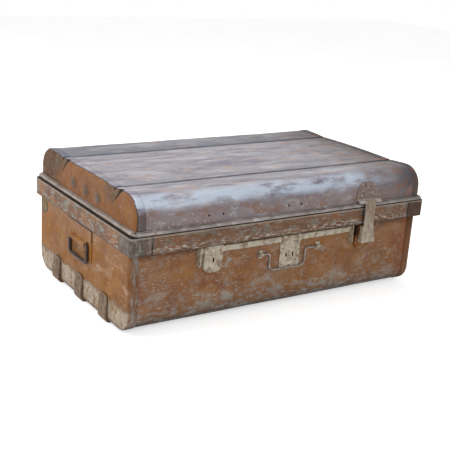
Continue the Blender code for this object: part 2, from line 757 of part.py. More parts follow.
def build_hinges(finish, pin_finish, joint):
    """Two butt hinges whose leaves loop round their pins from below and from above."""
    loop = HINGE_PIN_RADIUS + GAP + LEAF / 2
    plate = GAP + LEAF / 2 - HINGE_AXIS_OUT
    low = BAND_BASE_Z + HINGE_SEAT - HINGE_Z
    lower_path = np.vstack([
        [(plate, low), (plate, low + HINGE_LOWER_LENGTH), (-loop, -HINGE_AXIS_RISE - 0.001)],
        arc((0, 0), loop, 180, -HINGE_CURL, 12),
    ])
    lid_plate = LID_WRAP_Y + GAP + LEAF / 2 - HINGE_Y
    clear = BEAD_Z + BEAD_RADIUS - HINGE_Z
    step_low = clear + HINGE_STEP_RISE
    step_high = step_low + HINGE_STEP
    upper_path = np.vstack([
        [(lid_plate, step_high + HINGE_UPPER_LENGTH), (lid_plate, step_high), (-loop, step_low)],
        arc((0, 0), loop, 180, 360 + HINGE_CURL, 12),
    ])
    half = HINGE_WIDTH / 2
    own = HINGE_KNUCKLE / 2
    room = (-loop - LEAF, loop + LEAF)
    lower = strip(lower_path, LEAF, half)
    keep_knuckles(lower, [(-own, own)], half + GAP, -HINGE_AXIS_RISE - 0.002, loop + LEAF, room)
    upper = strip(upper_path, LEAF, half)
    outers = [(-half - GAP, -own - GAP), (own + GAP, half + GAP)]
    keep_knuckles(upper, outers, half + GAP, -loop - LEAF, step_low + 0.001, room)
    pin = rod(HINGE_PIN_RADIUS, 0, -half - GAP, half + GAP)
    for side in (-1, 1):
        ends = sorted((side * (half + GAP), side * (half + GAP + LEAF)))
        head = rod(HINGE_PIN_RADIUS + LEAF / 2, 0, *ends)
        combine(pin, head, "UNION")
    for name, side in (("left", -1), ("right", 1)):
        spot = (side * (BAND_X - HINGE_INSET), HINGE_Y, HINGE_Z)
        place(copy_of(lower), "hinge_lower_" + name, finish, spot, turn=180)
        place(copy_of(upper), "hinge_upper_" + name, finish, spot, turn=180, joint=joint)
        place(copy_of(pin), "hinge_pin_" + name, pin_finish, spot, turn=180)
    for scratch in (lower, upper, pin):
        bpy.data.objects.remove(scratch)


def build_hasp(finish, pin_finish, rivet_finish, lid_joint, hasp_joint):
    """The hasp that is left: a shield plate on the lid, a pin, and a strap that ends in a boot."""
    spot = (HASP_X, HASP_Y, HASP_Z)
    loop = HASP_PIN_RADIUS + GAP + FITTING / 2
    centre = (LID_Y - LID_EDGE_RADIUS + HASP_Y, LID_TOP_Z - LID_EDGE_RADIUS - HASP_Z)
    face = LID_EDGE_RADIUS - SHEET + FITTING / 2
    shield = arc(centre, face, HASP_TOP_ANGLE, 0, 6)
    wall = shield[-1][0]
    path = np.vstack([
        shield,
        [(wall, loop + 0.0024), (wall + 0.0008, loop + 0.0006), (wall + 0.0026, loop)],
        arc((0, 0), loop, 90, -165, 10),
    ])
    full = HASP_WIDTH / 2
    rise = np.clip((path[:, 1] - shield[-1][1]) / (shield[0][1] - shield[-1][1]), 0, 0.94)
    knuckles = (HASP_STRAP_TOP / 2 + GAP, full)
    plate = strip(path, FITTING, full * np.sqrt(1 - rise ** 2))
    keep_knuckles(plate, [(-knuckles[1] - GAP, -knuckles[0]), (knuckles[0], knuckles[1] + GAP)], full + GAP,
                  -loop - FITTING, loop + FITTING, (-loop - FITTING, loop + FITTING))
    place(plate, "hasp_plate", finish, spot, joint=lid_joint)
    half = full + GAP
    pin = rod(HASP_PIN_RADIUS, 0, -half, half)
    for side in (-1, 1):
        combine(pin, rod(loop, 0, *sorted((side * half, side * (half + FITTING)))), "UNION")
    place(pin, "hasp_pin", pin_finish, spot, joint=lid_joint)
    head = rivet()
    low = HASP_RIVET_LOW
    for name, x, rise in (("left", -0.5, low), ("right", 0.5, low), ("top", 0, HASP_RIVET_HIGH)):
        z = HASP_Z + rise
        above = max(0.0, z - (LID_TOP_Z - LID_EDGE_RADIUS))
        tilt = math.asin(above / (face + FITTING / 2))
        out = LID_Y - LID_EDGE_RADIUS + (face + FITTING / 2) * math.cos(tilt)
        one = place(copy_of(head), "hasp_rivet_" + name, rivet_finish,
                    (HASP_X + x * HASP_RIVET_SPACING, -out, z), joint=lid_joint)
        one.rotation_euler = (-tilt, 0, 0)
    bpy.data.objects.remove(head)
    build_strap(finish, spot, loop, hasp_joint)


def build_strap(finish, spot, loop, joint):
    """The hasp's strap, looped round its pin, with a flared boot that covers the catch."""
    tail = [(loop, -HASP_STRAP_TAPER), (loop, -HASP_STRAP_LENGTH - FITTING)]
    path = np.vstack([arc((0, 0), loop, 215, 0, 10), tail])
    widths = np.full(len(path), HASP_STRAP_TOP / 2)
    widths[-1] = HASP_STRAP_LOW / 2
    strap = strip(path, FITTING, widths)
    top = -HASP_STRAP_LENGTH
    low = top - BOOT_HEIGHT
    back = -HASP_Y - (BAND_Y + BOOT_BAND_CLEARANCE)
    front = loop + FITTING / 2

    def shell(less, over):
        rings = []
        for z, width, out in (
            (top - less, BOOT_TOP_WIDTH, front),
            (top - BOOT_BEND, BOOT_TOP_WIDTH, front),
            (low - over, BOOT_WIDTH, front + BOOT_FLARE),
        ):
            half = width / 2 - less
            rear = back + over
            rings.append([(-half, rear, z), (half, rear, z), (half, less - out, z), (-half, less - out, z)])
        return as_object(loft(rings))

    boot = combine(shell(0.0, 0.0), shell(FITTING, 0.004))
    combine(strap, boot, "UNION")
    place(strap, "hasp_strap", finish, spot, joint=joint)


def lock_holes():
    """Cutters for the two key slots and the hole below them, about the bar's height on the wall."""
    depth = 0.01
    holes = []
    for half in (-0.5, 0.5):
        x = half * KEY_SLOT_SPACING
        low = -KEY_SLOT_DROP - KEY_SLOT_HEIGHT / 2
        slot = rectangle(KEY_SLOT_WIDTH, low, low + KEY_SLOT_HEIGHT)
        holes.append(prism(slot + np.array([x, 0]), 1, -depth, depth))
    holes.append(rod(KEY_HOLE / 2, 1, -depth, depth, (0, -KEY_HOLE_DROP)))
    return holes


def build_catches(finish):
    """Two raised catch covers, each with an ear that guides the bar."""
    top = CATCH_ABOVE_BAR
    low = top - CATCH_HEIGHT
    skin = BAND_SHEET
    cover = prism(rectangle(CATCH_WIDTH, low, top, FITTING, CATCH_CORNER), 1, -CATCH_PROUD, -GAP)
    inner = rectangle(CATCH_WIDTH - 2 * skin, low + skin, top - skin, FITTING / 2, CATCH_CORNER - skin)
    combine(cover, prism(inner, 1, skin - CATCH_PROUD, 0.01))
    base = box((-EAR_OFFSET, -GAP - skin, EAR_ABOVE_BAR - EAR_HEIGHT),
               (skin / 2 - CATCH_WIDTH / 2, -GAP, EAR_ABOVE_BAR))
    ear_outline = rectangle(EAR_PROUD, EAR_ABOVE_BAR - EAR_HEIGHT, EAR_ABOVE_BAR, EAR_CORNER)
    ear_outline -= np.array([EAR_PROUD / 2 + GAP, 0])
    ear = prism(ear_outline, 0, -EAR_OFFSET - FITTING, -EAR_OFFSET)
    combine(ear, base, "UNION")
    combine(cover, ear, "UNION")
    room = BAR_HEIGHT / 2 + GAP
    combine(cover, box((-EAR_OFFSET - 0.01, -BAR_OUT - BAR_THICKNESS / 2 - GAP, -room),
                       (CATCH_WIDTH, -GAP - skin, room)))
    slot = rectangle(CATCH_SLOT_WIDTH, -CATCH_SLOT_DROP - CATCH_SLOT_HEIGHT / 2,
                     -CATCH_SLOT_DROP + CATCH_SLOT_HEIGHT / 2)
    combine(cover, prism(slot, 1, -CATCH_PROUD - 0.01, skin / 2 - CATCH_PROUD + 0.002))
    for name, x in (("left", CATCH_LEFT_X), ("right", CATCH_LEFT_X + CATCH_SPACING)):
        place(copy_of(cover), "catch_" + name, finish, (x, -BODY_WRAP_Y, BAR_Z))
    bpy.data.objects.remove(cover)


def build_lock(finish, case_finish):
    """The lock plate with its key slots, the case inside, and two keepers that bridge the bar."""
    plate = prism(rectangle(LOCK_WIDTH, LOCK_ABOVE_BAR - LOCK_HEIGHT, LOCK_ABOVE_BAR, 0.0, LOCK_CORNER),
                  1, -GAP - BAND_SHEET, -GAP)
    for hole in lock_holes():
        combine(plate, hole)
    place(plate, "lock_plate", finish, (LOCK_X, -BODY_WRAP_Y, BAR_Z))
    near = SHEET + GAP
    half = CASE_WIDTH / 2
    low = -CASE_DROP - CASE_HEIGHT / 2
    high = -CASE_DROP + CASE_HEIGHT / 2
    case = box((-half, near, low), (half, near + CASE_DEPTH, high))
    skin = FITTING
    room = (half - skin, near + CASE_DEPTH - skin, high - skin)
    combine(case, box((skin - half, near - 0.01, low + skin), room))
    place(case, "lock_case", case_finish, (LOCK_X, -BODY_WRAP_Y, BAR_Z))
    foot_high = GAP + BAND_SHEET / 2
    foot_low = foot_high + BAND_SHEET + GAP
    over = BAR_OUT + BAR_THICKNESS / 2 + GAP + BAND_SHEET / 2
    side = BAR_HEIGHT / 2 + GAP + BAND_SHEET / 2
    path = [(foot_high, side + KEEPER_FOOT), (foot_high, side + KEEPER_SLOPE + KEEPER_EASE),
            (over, side + KEEPER_EASE), (over, -side),
            (foot_low, -side - KEEPER_EASE), (foot_low, -side - KEEPER_FOOT)]
    bridge = strip(path, BAND_SHEET, KEEPER_WIDTH / 2)
    for name, half in (("left", -0.5), ("right", 0.5)):
        spot = (LOCK_X + half * KEEPER_SPACING, -BODY_WRAP_Y, BAR_Z)
        place(copy_of(bridge), "bar_keeper_" + name, finish, spot)
    bpy.data.objects.remove(bridge)


def build_bar(finish, joint):
    """The locking bar, which slides through both catches and the keepers."""
    outline = rectangle(BAR_THICKNESS, -BAR_HEIGHT / 2, BAR_HEIGHT / 2, 0.0008) - np.array([BAR_OUT, 0])
    bar = prism(outline, 0, BAR_LEFT, BAR_RIGHT)
    place(bar, "lock_bar", finish, (0, -BODY_WRAP_Y, BAR_Z), joint=joint)


def bend(points, corners, steps=5):
    """Round the corners of an open (across, up) path; each corner has its own radius."""
    path = [points[0]]
    for before, here, after, radius in zip(points, points[1:], points[2:], corners):
        a = Vector(before) - Vector(here)
        b = Vector(after) - Vector(here)
        a.normalize()
        b.normalize()
        middle = Vector(here) + (a + b) * radius
        start = Vector(here) + a * radius - middle
        end = Vector(here) + b * radius - middle
        for step in range(steps + 1):
            turn = step / steps * math.pi / 2
            path.append(tuple(middle + start * math.cos(turn) + end * math.sin(turn)))
    path.append(points[-1])
    return path


def build_front_bail(finish, clip_finish, joint):
    """The wire bail in front of the lock plate, and the saddle clips that hold its stubs."""
    half = FRONT_BAIL_WIDTH / 2
    drop = -FRONT_BAIL_DROP
    points = [(-half - FRONT_STUB_LEFT, 0), (-half, 0), (-half, drop), (half, drop), (half, 0),
              (half + FRONT_STUB_RIGHT, 0)]
    corners = (FRONT_STUB_CORNER, FRONT_BAIL_CORNER, FRONT_BAIL_CORNER, FRONT_STUB_CORNER)
    path = [(x, 0, z) for x, z in bend(points, corners)]
    spot = (FRONT_BAIL_X, -BODY_WRAP_Y - FRONT_BAIL_OUT, FRONT_BAIL_Z)
    place(wire(path, FRONT_WIRE), "front_bail", finish, spot, joint=joint)
    foot = GAP + BAND_SHEET / 2
    round_wire = FRONT_WIRE / 2 + GAP + BAND_SHEET / 2
    shoulder = FRONT_BAIL_OUT - CLIP_SHOULDER
    path = np.vstack([
        [(foot, round_wire + CLIP_FOOT), (foot, round_wire + CLIP_SLOPE), (shoulder, round_wire)],
        arc((FRONT_BAIL_OUT, 0), round_wire, 90, -90, 8),
        [(shoulder, -round_wire), (foot, -round_wire - CLIP_SLOPE), (foot, -round_wire - CLIP_FOOT)],
    ])
    clip = strip(path, BAND_SHEET, CLIP_WIDTH / 2)
    left = FRONT_BAIL_X - half - FRONT_STUB_LEFT + CLIP_INSET
    right = FRONT_BAIL_X + half + FRONT_STUB_RIGHT - CLIP_INSET
    for name, x in (("left", left), ("right", right)):
        spot = (x, -BODY_WRAP_Y, FRONT_BAIL_Z)
        place(copy_of(clip), "front_handle_clip_" + name, clip_finish, spot)
    bpy.data.objects.remove(clip)


def build_handles(finish, clamp_finish, rod_finish, rivet_finish, joints):
    """A drop handle on each end: base plate, clamp with a rolled knuckle, bail and two rivets."""
    top = HANDLE_AXIS_DROP
    low = top - HANDLE_PLATE_HEIGHT
    plate = prism(rectangle(HANDLE_WIDTH, low, top, 0.0, FITTING), 1, -GAP - FITTING, -GAP)
    clamp_out = 2 * GAP + 1.5 * FITTING
    loop = HANDLE_ROD / 2 + GAP + FITTING / 2
    path = np.vstack([
        [(clamp_out, top), (clamp_out, CLAMP_WIDE_LOW), (clamp_out, CLAMP_NARROW_TOP)],
        [(clamp_out, loop * CLAMP_KNEE)],
        arc((HANDLE_OUT, 0), loop, 110, -100, 12),
    ])
    widths = np.full(len(path), HANDLE_KNUCKLE / 2)
    widths[:2] = HANDLE_WIDTH / 2
    clamp = strip(path, FITTING, widths)
    half = HANDLE_BAIL_WIDTH / 2
    corners = (HANDLE_BAIL_CORNER, HANDLE_BAIL_CORNER, HANDLE_BAIL_TOP_CORNER, HANDLE_BAIL_TOP_CORNER)
    drop = -HANDLE_BAIL_DROP
    points = [(-half, drop / 2), (-half, drop), (half, drop), (half, 0), (-half, 0), (-half, drop / 2)]
    ring = [(x, 0, z) for x, z in bend(points, corners)[:-1]]
    bail = wire(ring, HANDLE_ROD, cyclic=True)
    head = rivet()
    for name, side, joint in (("left", -1, joints[0]), ("right", 1, joints[1])):
        turn = side * 90
        spot = (side * BODY_X, 0, HANDLE_Z)
        place(copy_of(plate), "handle_plate_" + name, finish, spot, turn)
        place(copy_of(clamp), "handle_clamp_" + name, clamp_finish, spot, turn)
        axis = (side * (BODY_X + HANDLE_OUT), 0, HANDLE_Z)
        place(copy_of(bail), "end_bail_" + name, rod_finish, axis, turn, joint)
        for end, half in (("front", -0.5), ("back", 0.5)):
            out = side * (BODY_X + GAP + FITTING)
            rivet_spot = (out, half * HANDLE_RIVET_SPACING, HANDLE_Z - HANDLE_RIVET_DROP)
            place(copy_of(head), "handle_rivet_" + name + "_" + end, rivet_finish, rivet_spot, turn)
    for scratch in (plate, clamp, bail, head):
        bpy.data.objects.remove(scratch)


def main():
    """Build the trunk."""
    clear_scene()
    tan = material("orange-tan painted steel", (0.30, 0.13, 0.05), 0.6, 0.1)
    worn = material("worn grey steel", (0.30, 0.29, 0.31), 0.55, 0.4)
    band = material("mottled rim steel", (0.23, 0.17, 0.13), 0.6, 0.2)
    bare = material("bare tinned steel", (0.45, 0.43, 0.42), 0.45, 0.7)
    cream = material("worn cream fittings", (0.50, 0.44, 0.35), 0.55, 0.3)
    strap = material("rusty strap steel", (0.22, 0.15, 0.10), 0.7, 0.3)
    dark = material("dark rusty rod", (0.06, 0.035, 0.025), 0.6, 0.5)

    lid = pivot("lid_pivot", (0, HINGE_Y, HINGE_Z))
    hasp = pivot("hasp_pivot", (HASP_X, HASP_Y, HASP_Z), lid)
    bar = pivot("lock_bar_slide", (0, -BODY_WRAP_Y - BAR_OUT, BAR_Z))
    bail = pivot("front_bail_pivot", (FRONT_BAIL_X, -BODY_WRAP_Y - FRONT_BAIL_OUT, FRONT_BAIL_Z))
    left = pivot("left_handle_pivot", (-BODY_X - HANDLE_OUT, 0, HANDLE_Z))
    right = pivot("right_handle_pivot", (BODY_X + HANDLE_OUT, 0, HANDLE_Z))

    build_body(tan)
    build_lip(tan)
    build_band(band)
    build_lid(worn, lid)
    build_bead(bare, dark, lid)
    build_skids(strap, dark)
    build_hinges(worn, dark, lid)
    build_hasp(worn, dark, dark, lid, hasp)
    build_catches(cream)
    build_lock(cream, worn)
    build_bar(cream, bar)
    build_front_bail(worn, worn, bail)
    build_handles(tan, tan, dark, dark, (left, right))


main()
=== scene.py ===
"""Looks of a steel travelling trunk: worn paint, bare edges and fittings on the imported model."""

import math
from functools import cache

import bmesh
import bpy
import numpy as np
from mathutils import Matrix, Vector


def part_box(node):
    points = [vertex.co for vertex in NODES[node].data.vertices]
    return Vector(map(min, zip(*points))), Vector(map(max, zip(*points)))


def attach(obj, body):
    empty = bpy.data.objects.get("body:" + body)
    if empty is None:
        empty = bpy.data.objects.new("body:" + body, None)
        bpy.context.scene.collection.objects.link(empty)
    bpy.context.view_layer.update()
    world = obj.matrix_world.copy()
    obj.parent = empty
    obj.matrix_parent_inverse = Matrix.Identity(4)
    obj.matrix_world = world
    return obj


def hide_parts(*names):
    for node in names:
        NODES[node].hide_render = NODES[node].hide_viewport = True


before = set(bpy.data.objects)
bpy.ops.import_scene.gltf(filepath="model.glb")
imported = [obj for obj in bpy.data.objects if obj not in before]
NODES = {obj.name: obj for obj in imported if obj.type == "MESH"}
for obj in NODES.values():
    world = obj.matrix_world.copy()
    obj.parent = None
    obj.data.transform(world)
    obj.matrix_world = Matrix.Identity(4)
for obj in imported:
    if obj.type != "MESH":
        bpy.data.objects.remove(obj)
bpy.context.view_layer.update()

MM = 0.001
SIDES = (("left", -1), ("right", 1))

# Camera, fitted to the trunk's edges in a 450 by 450 picture
PICTURE = 450
FOCAL_PIXELS = 892.2
SENSOR = 36.0
CAMERA_YAW = -0.5937
CAMERA_PITCH = 0.3103
CAMERA_ROLL = 0.0685
CAMERA_DISTANCE = 2.6571
CAMERA_TARGET = Vector((0.29746, 0.45509, -0.0513))

# Sheet gauges of the real pieces
SHEET = 0.9 * MM
BEAD_SHEET = 0.85 * MM
BAND_SHEET = 1.1 * MM
GAP = 0.3 * MM

# Body, measured from its nodes
BODY_LOW, BODY_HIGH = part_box("body_end_right")
RIM_Z = BODY_HIGH.z
BODY_X = BODY_HIGH.x
BODY_Y = BODY_HIGH.y
BODY_BASE_Z = BODY_LOW.z
BODY_RADIUS = 38 * MM
PAN_RADIUS = 5 * MM
PAN_FLANGE = 22 * MM
BODY_STEP = 6 * MM

# Knocks in the body: their depths, and where they fade out towards the ends and under the band
BODY_KNOCK = 0.7 * MM
BODY_PAN_KNOCK = 0.8 * MM
BODY_KNOCK_END = (0.35, 0.30)
BODY_KNOCK_TOP = (0.176, 0.156)

# A dull tab at the back of the left end: its middle, how much flatter than round it is, and its edge
TAB_Y = 222 * MM
TAB_Z = 157 * MM
TAB_SQUASH = 1.9
TAB_FADE = (50 * MM, 34 * MM)

# The painted shade in the pans' turned edge: how far round its dark line lies, and that it shows at the
# back and low down
EDGE_LINE = (0.7 * MM, 2.2 * MM)
EDGE_LINE_Y = 200 * MM
EDGE_LINE_Z = 22 * MM

# The window behind the lock plate: half its width, and its height above the plate's foot
LOCK_HALF = 14 * MM
LOCK_LOW = 3 * MM
LOCK_HIGH = 43 * MM

# Lid, measured from its nodes
WRAP_LOW, WRAP_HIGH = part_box("lid_wrap")
LID_X = WRAP_HIGH.x + 9.3 * MM
LID_Y = WRAP_HIGH.y + SHEET + GAP
LID_BASE_Z = WRAP_LOW.z
LID_TOP_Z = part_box("lid_end_left")[1].z
LID_RADIUS = 45 * MM
LID_PAN_RADIUS = 9 * MM
LID_STEP = 5 * MM
LID_TURNS = 11
# Stations of the pan's flange, each how far from its edge and how far sunk
LID_FLANGE = ((0, MM), (3 * MM, 0.6 * MM), (8 * MM, 0))
GROOVES = (-134 * MM, 118 * MM)
GROOVE_WIDTH = 8 * MM
GROOVE_DEPTH = 5 * MM
LOBE_FALL = 3 * MM
CROWN_RISE = 2 * MM
GUSSET_LENGTH = 32.5 * MM
GUSSET_RECESS = 7 * MM
GUSSET_LEAN = 0.95
GUSSET_STEP = 0.12
GUSSET_SPREAD = 0.89
# How fast the painted shade of each slit widens with height
SLIT_SPREAD = 0.57
BOSS_PITCH = 60 * MM
BOSS_DROP = 42.5 * MM
BOSS_HALF = (13 * MM, 14 * MM)
BOSS_PROUD = 4.2 * MM

# Knocks in the lid: their depths, and where they fade out towards the ends and low down
LID_KNOCK = 1.3 * MM
LID_PAN_KNOCK = 0.6 * MM
LID_KNOCK_END = (0.342, 0.292)
LID_KNOCK_LOW = (0.232, 0.252)
LID_PAN_KNOCK_LOW = (0.222, 0.234)

# Knocks are weaker near the grooves: from this share up to the full depth over this distance
GROOVE_SHARE = 0.35
GROOVE_CALM = 30 * MM

# Where the lid ends' sheet is left out, because the bead's tails stand there
TAIL_TOP = 223.8 * MM
TAIL_DEPTH = 1.05 * MM

# How the pans' faces are divided: ring spacing, share of the width that the low line has, its height, rings
BODY_FACE = (BODY_STEP, 0.5, RIM_Z, 40)
LID_FACE = (1.6 * MM, 0.86, LID_BASE_Z, 44)

# Rivet holes of the two hasps that are gone
HOLE_PLACES = (-188 * MM, 8 * MM)
HOLE_STEP = 17.5 * MM
HOLE_Z = 240 * MM
HOLE_RADIUS = 2.4 * MM

# The bead's roll: its radius, how far it turns past its tail in degrees, and how deep its knocks are
BEAD_RADIUS = 4 * MM
BEAD_TURN = 325
BEAD_KNOCK = 0.35 * MM

# Bails: the gap beside the wire's stubs, how far in its arms stand on the left and right, and all bends
STUB_GAP = 0.65 * MM
BAIL_ARMS = (31 * MM, 44 * MM)
BAIL_BENDS = (6 * MM, 12 * MM, 12 * MM, 6 * MM)
ROD_BENDS = (9 * MM, 5 * MM, 5 * MM, 9 * MM)

# Rivet heads: how high they stand, how deep they sit, and the sizes and places of the small ones
RIVET_HEIGHT = 1.7 * MM
RIVET_SUNK = 0.9 * MM
SMALL_HEIGHT = 1.2 * MM
END_RIVET = 2.6 * MM
END_RIVET_Y = 185 * MM
END_RIVET_Z = 223 * MM
HINGE_RIVET = 2.4 * MM
HINGE_RIVET_STEP = 9 * MM
HINGE_LEAF = 1.8 * MM

# Where the band's four lengths meet
BAND_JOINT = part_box("band_front")[1].x

# Lean of the hasp plate's top, and the angle from which a fitting's edge is broken
HASP_TILT = math.radians(16.5)
SHARP_ANGLE = math.radians(34)

# Light that the floor adds for the eye alone, so that it shows as white paper
FLOOR_LIFT = 0.55

# How bright the white room is as light; to the eye it is full white
ROOM_LEVEL = 0.40
WHITE = (1, 1, 1, 1)

# How far each seed moves the noise, and how rough the noise is
SEED_STEPS = (3.7, 1.9, 5.3)
NOISE_ROUGHNESS = 0.6


def make_camera():
    """The picture's viewpoint, from the front left and above."""
    back = Vector((math.sin(CAMERA_YAW) * math.cos(CAMERA_PITCH),
                   -math.cos(CAMERA_YAW) * math.cos(CAMERA_PITCH), math.sin(CAMERA_PITCH)))
    right = (-back).cross(Vector((0, 0, 1))).normalized()
    up = right.cross(-back)
    level_right = right * math.cos(CAMERA_ROLL) + up * math.sin(CAMERA_ROLL)
    level_up = up * math.cos(CAMERA_ROLL) - right * math.sin(CAMERA_ROLL)
    lens = bpy.data.cameras.new("camera")
    lens.sensor_width = SENSOR
    lens.lens = FOCAL_PIXELS / PICTURE * SENSOR
    lens.clip_end = 50
    camera = bpy.data.objects.new("camera", lens)
    bpy.context.scene.collection.objects.link(camera)
    turn = Matrix((level_right, level_up, back)).transposed().to_4x4()
    camera.matrix_world = Matrix.Translation(CAMERA_TARGET + back * CAMERA_DISTANCE) @ turn
    bpy.context.scene.camera = camera


def linear(code):
    """An sRGB hex colour as linear red, green, blue and alpha."""
    values = np.array([int(code[i:i + 2], 16) for i in (1, 3, 5)]) / 255
    values = np.where(values <= 0.04045, values / 12.92, ((values + 0.055) / 1.055) ** 2.4)
    return (*values.tolist(), 1.0)


def add(tree, kind, values=None):
    """Add a node. Each value goes to its property or its input, and a socket is linked."""
    node = tree.nodes.new("ShaderNode" + kind)
    for key, value in (values or {}).items():
        if isinstance(key, str) and hasattr(node, key):
            setattr(node, key, value)
        elif isinstance(value, bpy.types.NodeSocket):
            tree.links.new(node.inputs[key], value)
        else:
            node.inputs[key].default_value = value
    return node


def patches(size, low=0.35, high=0.65, seed=0, stretch=(1, 1, 1), detail=8, twist=0.0):
    """A mask of ragged patches: noise of a real size in millimetres, raised from 0 at low to 1 at high.
    Stretch lengthens it along X, Y and Z, and each seed takes another part of the noise.
    As with every mask, the result builds its nodes once in a tree and gives the socket that carries it."""
    @cache
    def build(tree):
        spot = add(tree, "Mapping", {"Vector": add(tree, "TexCoord").outputs["Object"],
                                     "Scale": [1 / (size * MM * s) for s in stretch],
                                     "Location": [seed * step for step in SEED_STEPS]})
        noise = add(tree, "TexNoise", {"Vector": spot.outputs[0], "Scale": 1.0, "Detail": detail,
                                       "Roughness": NOISE_ROUGHNESS, "Distortion": twist})
        ramp = add(tree, "MapRange", {"Value": noise.outputs["Fac"], "From Min": low, "From Max": high})
        return ramp.outputs[0]
    return build


def zone(along, start, full, ragged=0.0, size=14, seed=0):
    """A mask along X, Y or Z in millimetres, or along a value that the piece's mesh carries. It goes from 0
    at start to 1 at full, and its edge wanders by ragged. A small letter measures both ways from 0."""
    unit = MM if along in "XYZxyz" else 1

    @cache
    def build(tree):
        if along in "XYZxyz":
            spread = add(tree, "SeparateXYZ", {0: add(tree, "TexCoord").outputs["Object"]})
            place = spread.outputs[along.upper()]
            if along.islower():
                place = add(tree, "Math", {"operation": "ABSOLUTE", 0: place}).outputs[0]
        else:
            place = add(tree, "Attribute", {"attribute_name": along}).outputs["Fac"]
        if ragged:
            wander = add(tree, "Math", {"operation": "MULTIPLY_ADD", 0: patches(size, 0.2, 0.8, seed)(tree),
                                        1: 2 * ragged * unit, 2: -ragged * unit})
            place = add(tree, "Math", {"operation": "ADD", 0: place, 1: wander.outputs[0]}).outputs[0]
        limits = {"From Min": start * unit, "From Max": full * unit}
        return add(tree, "MapRange", {"Value": place, **limits}).outputs[0]
    return build


def both(*masks):
    """Masks multiplied together; a plain number works too."""
    @cache
    def build(tree):
        result, *others = [mask(tree) if callable(mask) else mask for mask in masks]
        for other in others:
            result = add(tree, "Math", {"operation": "MULTIPLY", 0: result, 1: other}).outputs[0]
        return result
    return build


def coats(base, *rows):
    """Coats of colour laid in turn over a base. Each row gives a colour, then the masks, and mostly a plain
    share, that say where it lies. A colour is a hex value or coats of its own."""
    def build(tree):
        colour = linear(base) if isinstance(base, str) else base(tree)
        for over, *masks in rows:
            over = linear(over) if isinstance(over, str) else over(tree)
            mix = add(tree, "MixRGB", {"Fac": both(*masks)(tree), "Color1": colour, "Color2": over})
            colour = mix.outputs[0]
        return colour
    return build


def material(name, finish, ior=1.5):
    """A Principled material from a finish: its coats, roughness, metallic value and rows of relief.
    Roughness and metallic value are plain numbers, or go from one to another as a mask rises."""
    made = bpy.data.materials.new(name)
    made.use_nodes = True
    tree = made.node_tree
    shader = tree.nodes["Principled BSDF"]
    colour, rough, metal, relief = finish
    tree.links.new(shader.inputs["Base Color"], colour(tree))
    for socket, value in (("Roughness", rough), ("Metallic", metal)):
        if isinstance(value, tuple):
            low, high, mask = value
            level = add(tree, "MapRange", {"Value": mask(tree), "To Min": low, "To Max": high})
            tree.links.new(shader.inputs[socket], level.outputs[0])
        else:
            shader.inputs[socket].default_value = value
    shader.inputs["IOR"].default_value = ior
    below = {}
    for mask, depth in relief:
        bump = add(tree, "Bump", {"Height": mask(tree), "Distance": depth * MM, **below})
        below = {"Normal": bump.outputs[0]}
    tree.links.new(shader.inputs["Normal"], bump.outputs[0])
    return made


def tan_coats(seed):
    """Tan stove enamel by itself: golden brown, clouded red-brown and ochre, with fine dark pits."""
    return coats(
        "#825321",
        ("#6c421f", patches(85, 0.42, 0.62, seed), 0.75),
        ("#946528", patches(55, 0.5, 0.66, seed + 1), 0.75),
        ("#85603a", patches(30, 0.5, 0.64, seed + 2, (1.3, 1.3, 1)), 0.6),
        ("#623b1b", patches(14, 0.56, 0.68, seed + 3, (1, 1, 2.2)), 0.5),
        ("#9d7038", patches(8, 0.6, 0.7, seed + 4), 0.45),
        ("#432816", patches(3.2, 0.65, 0.72, seed + 5, detail=3), 0.6))


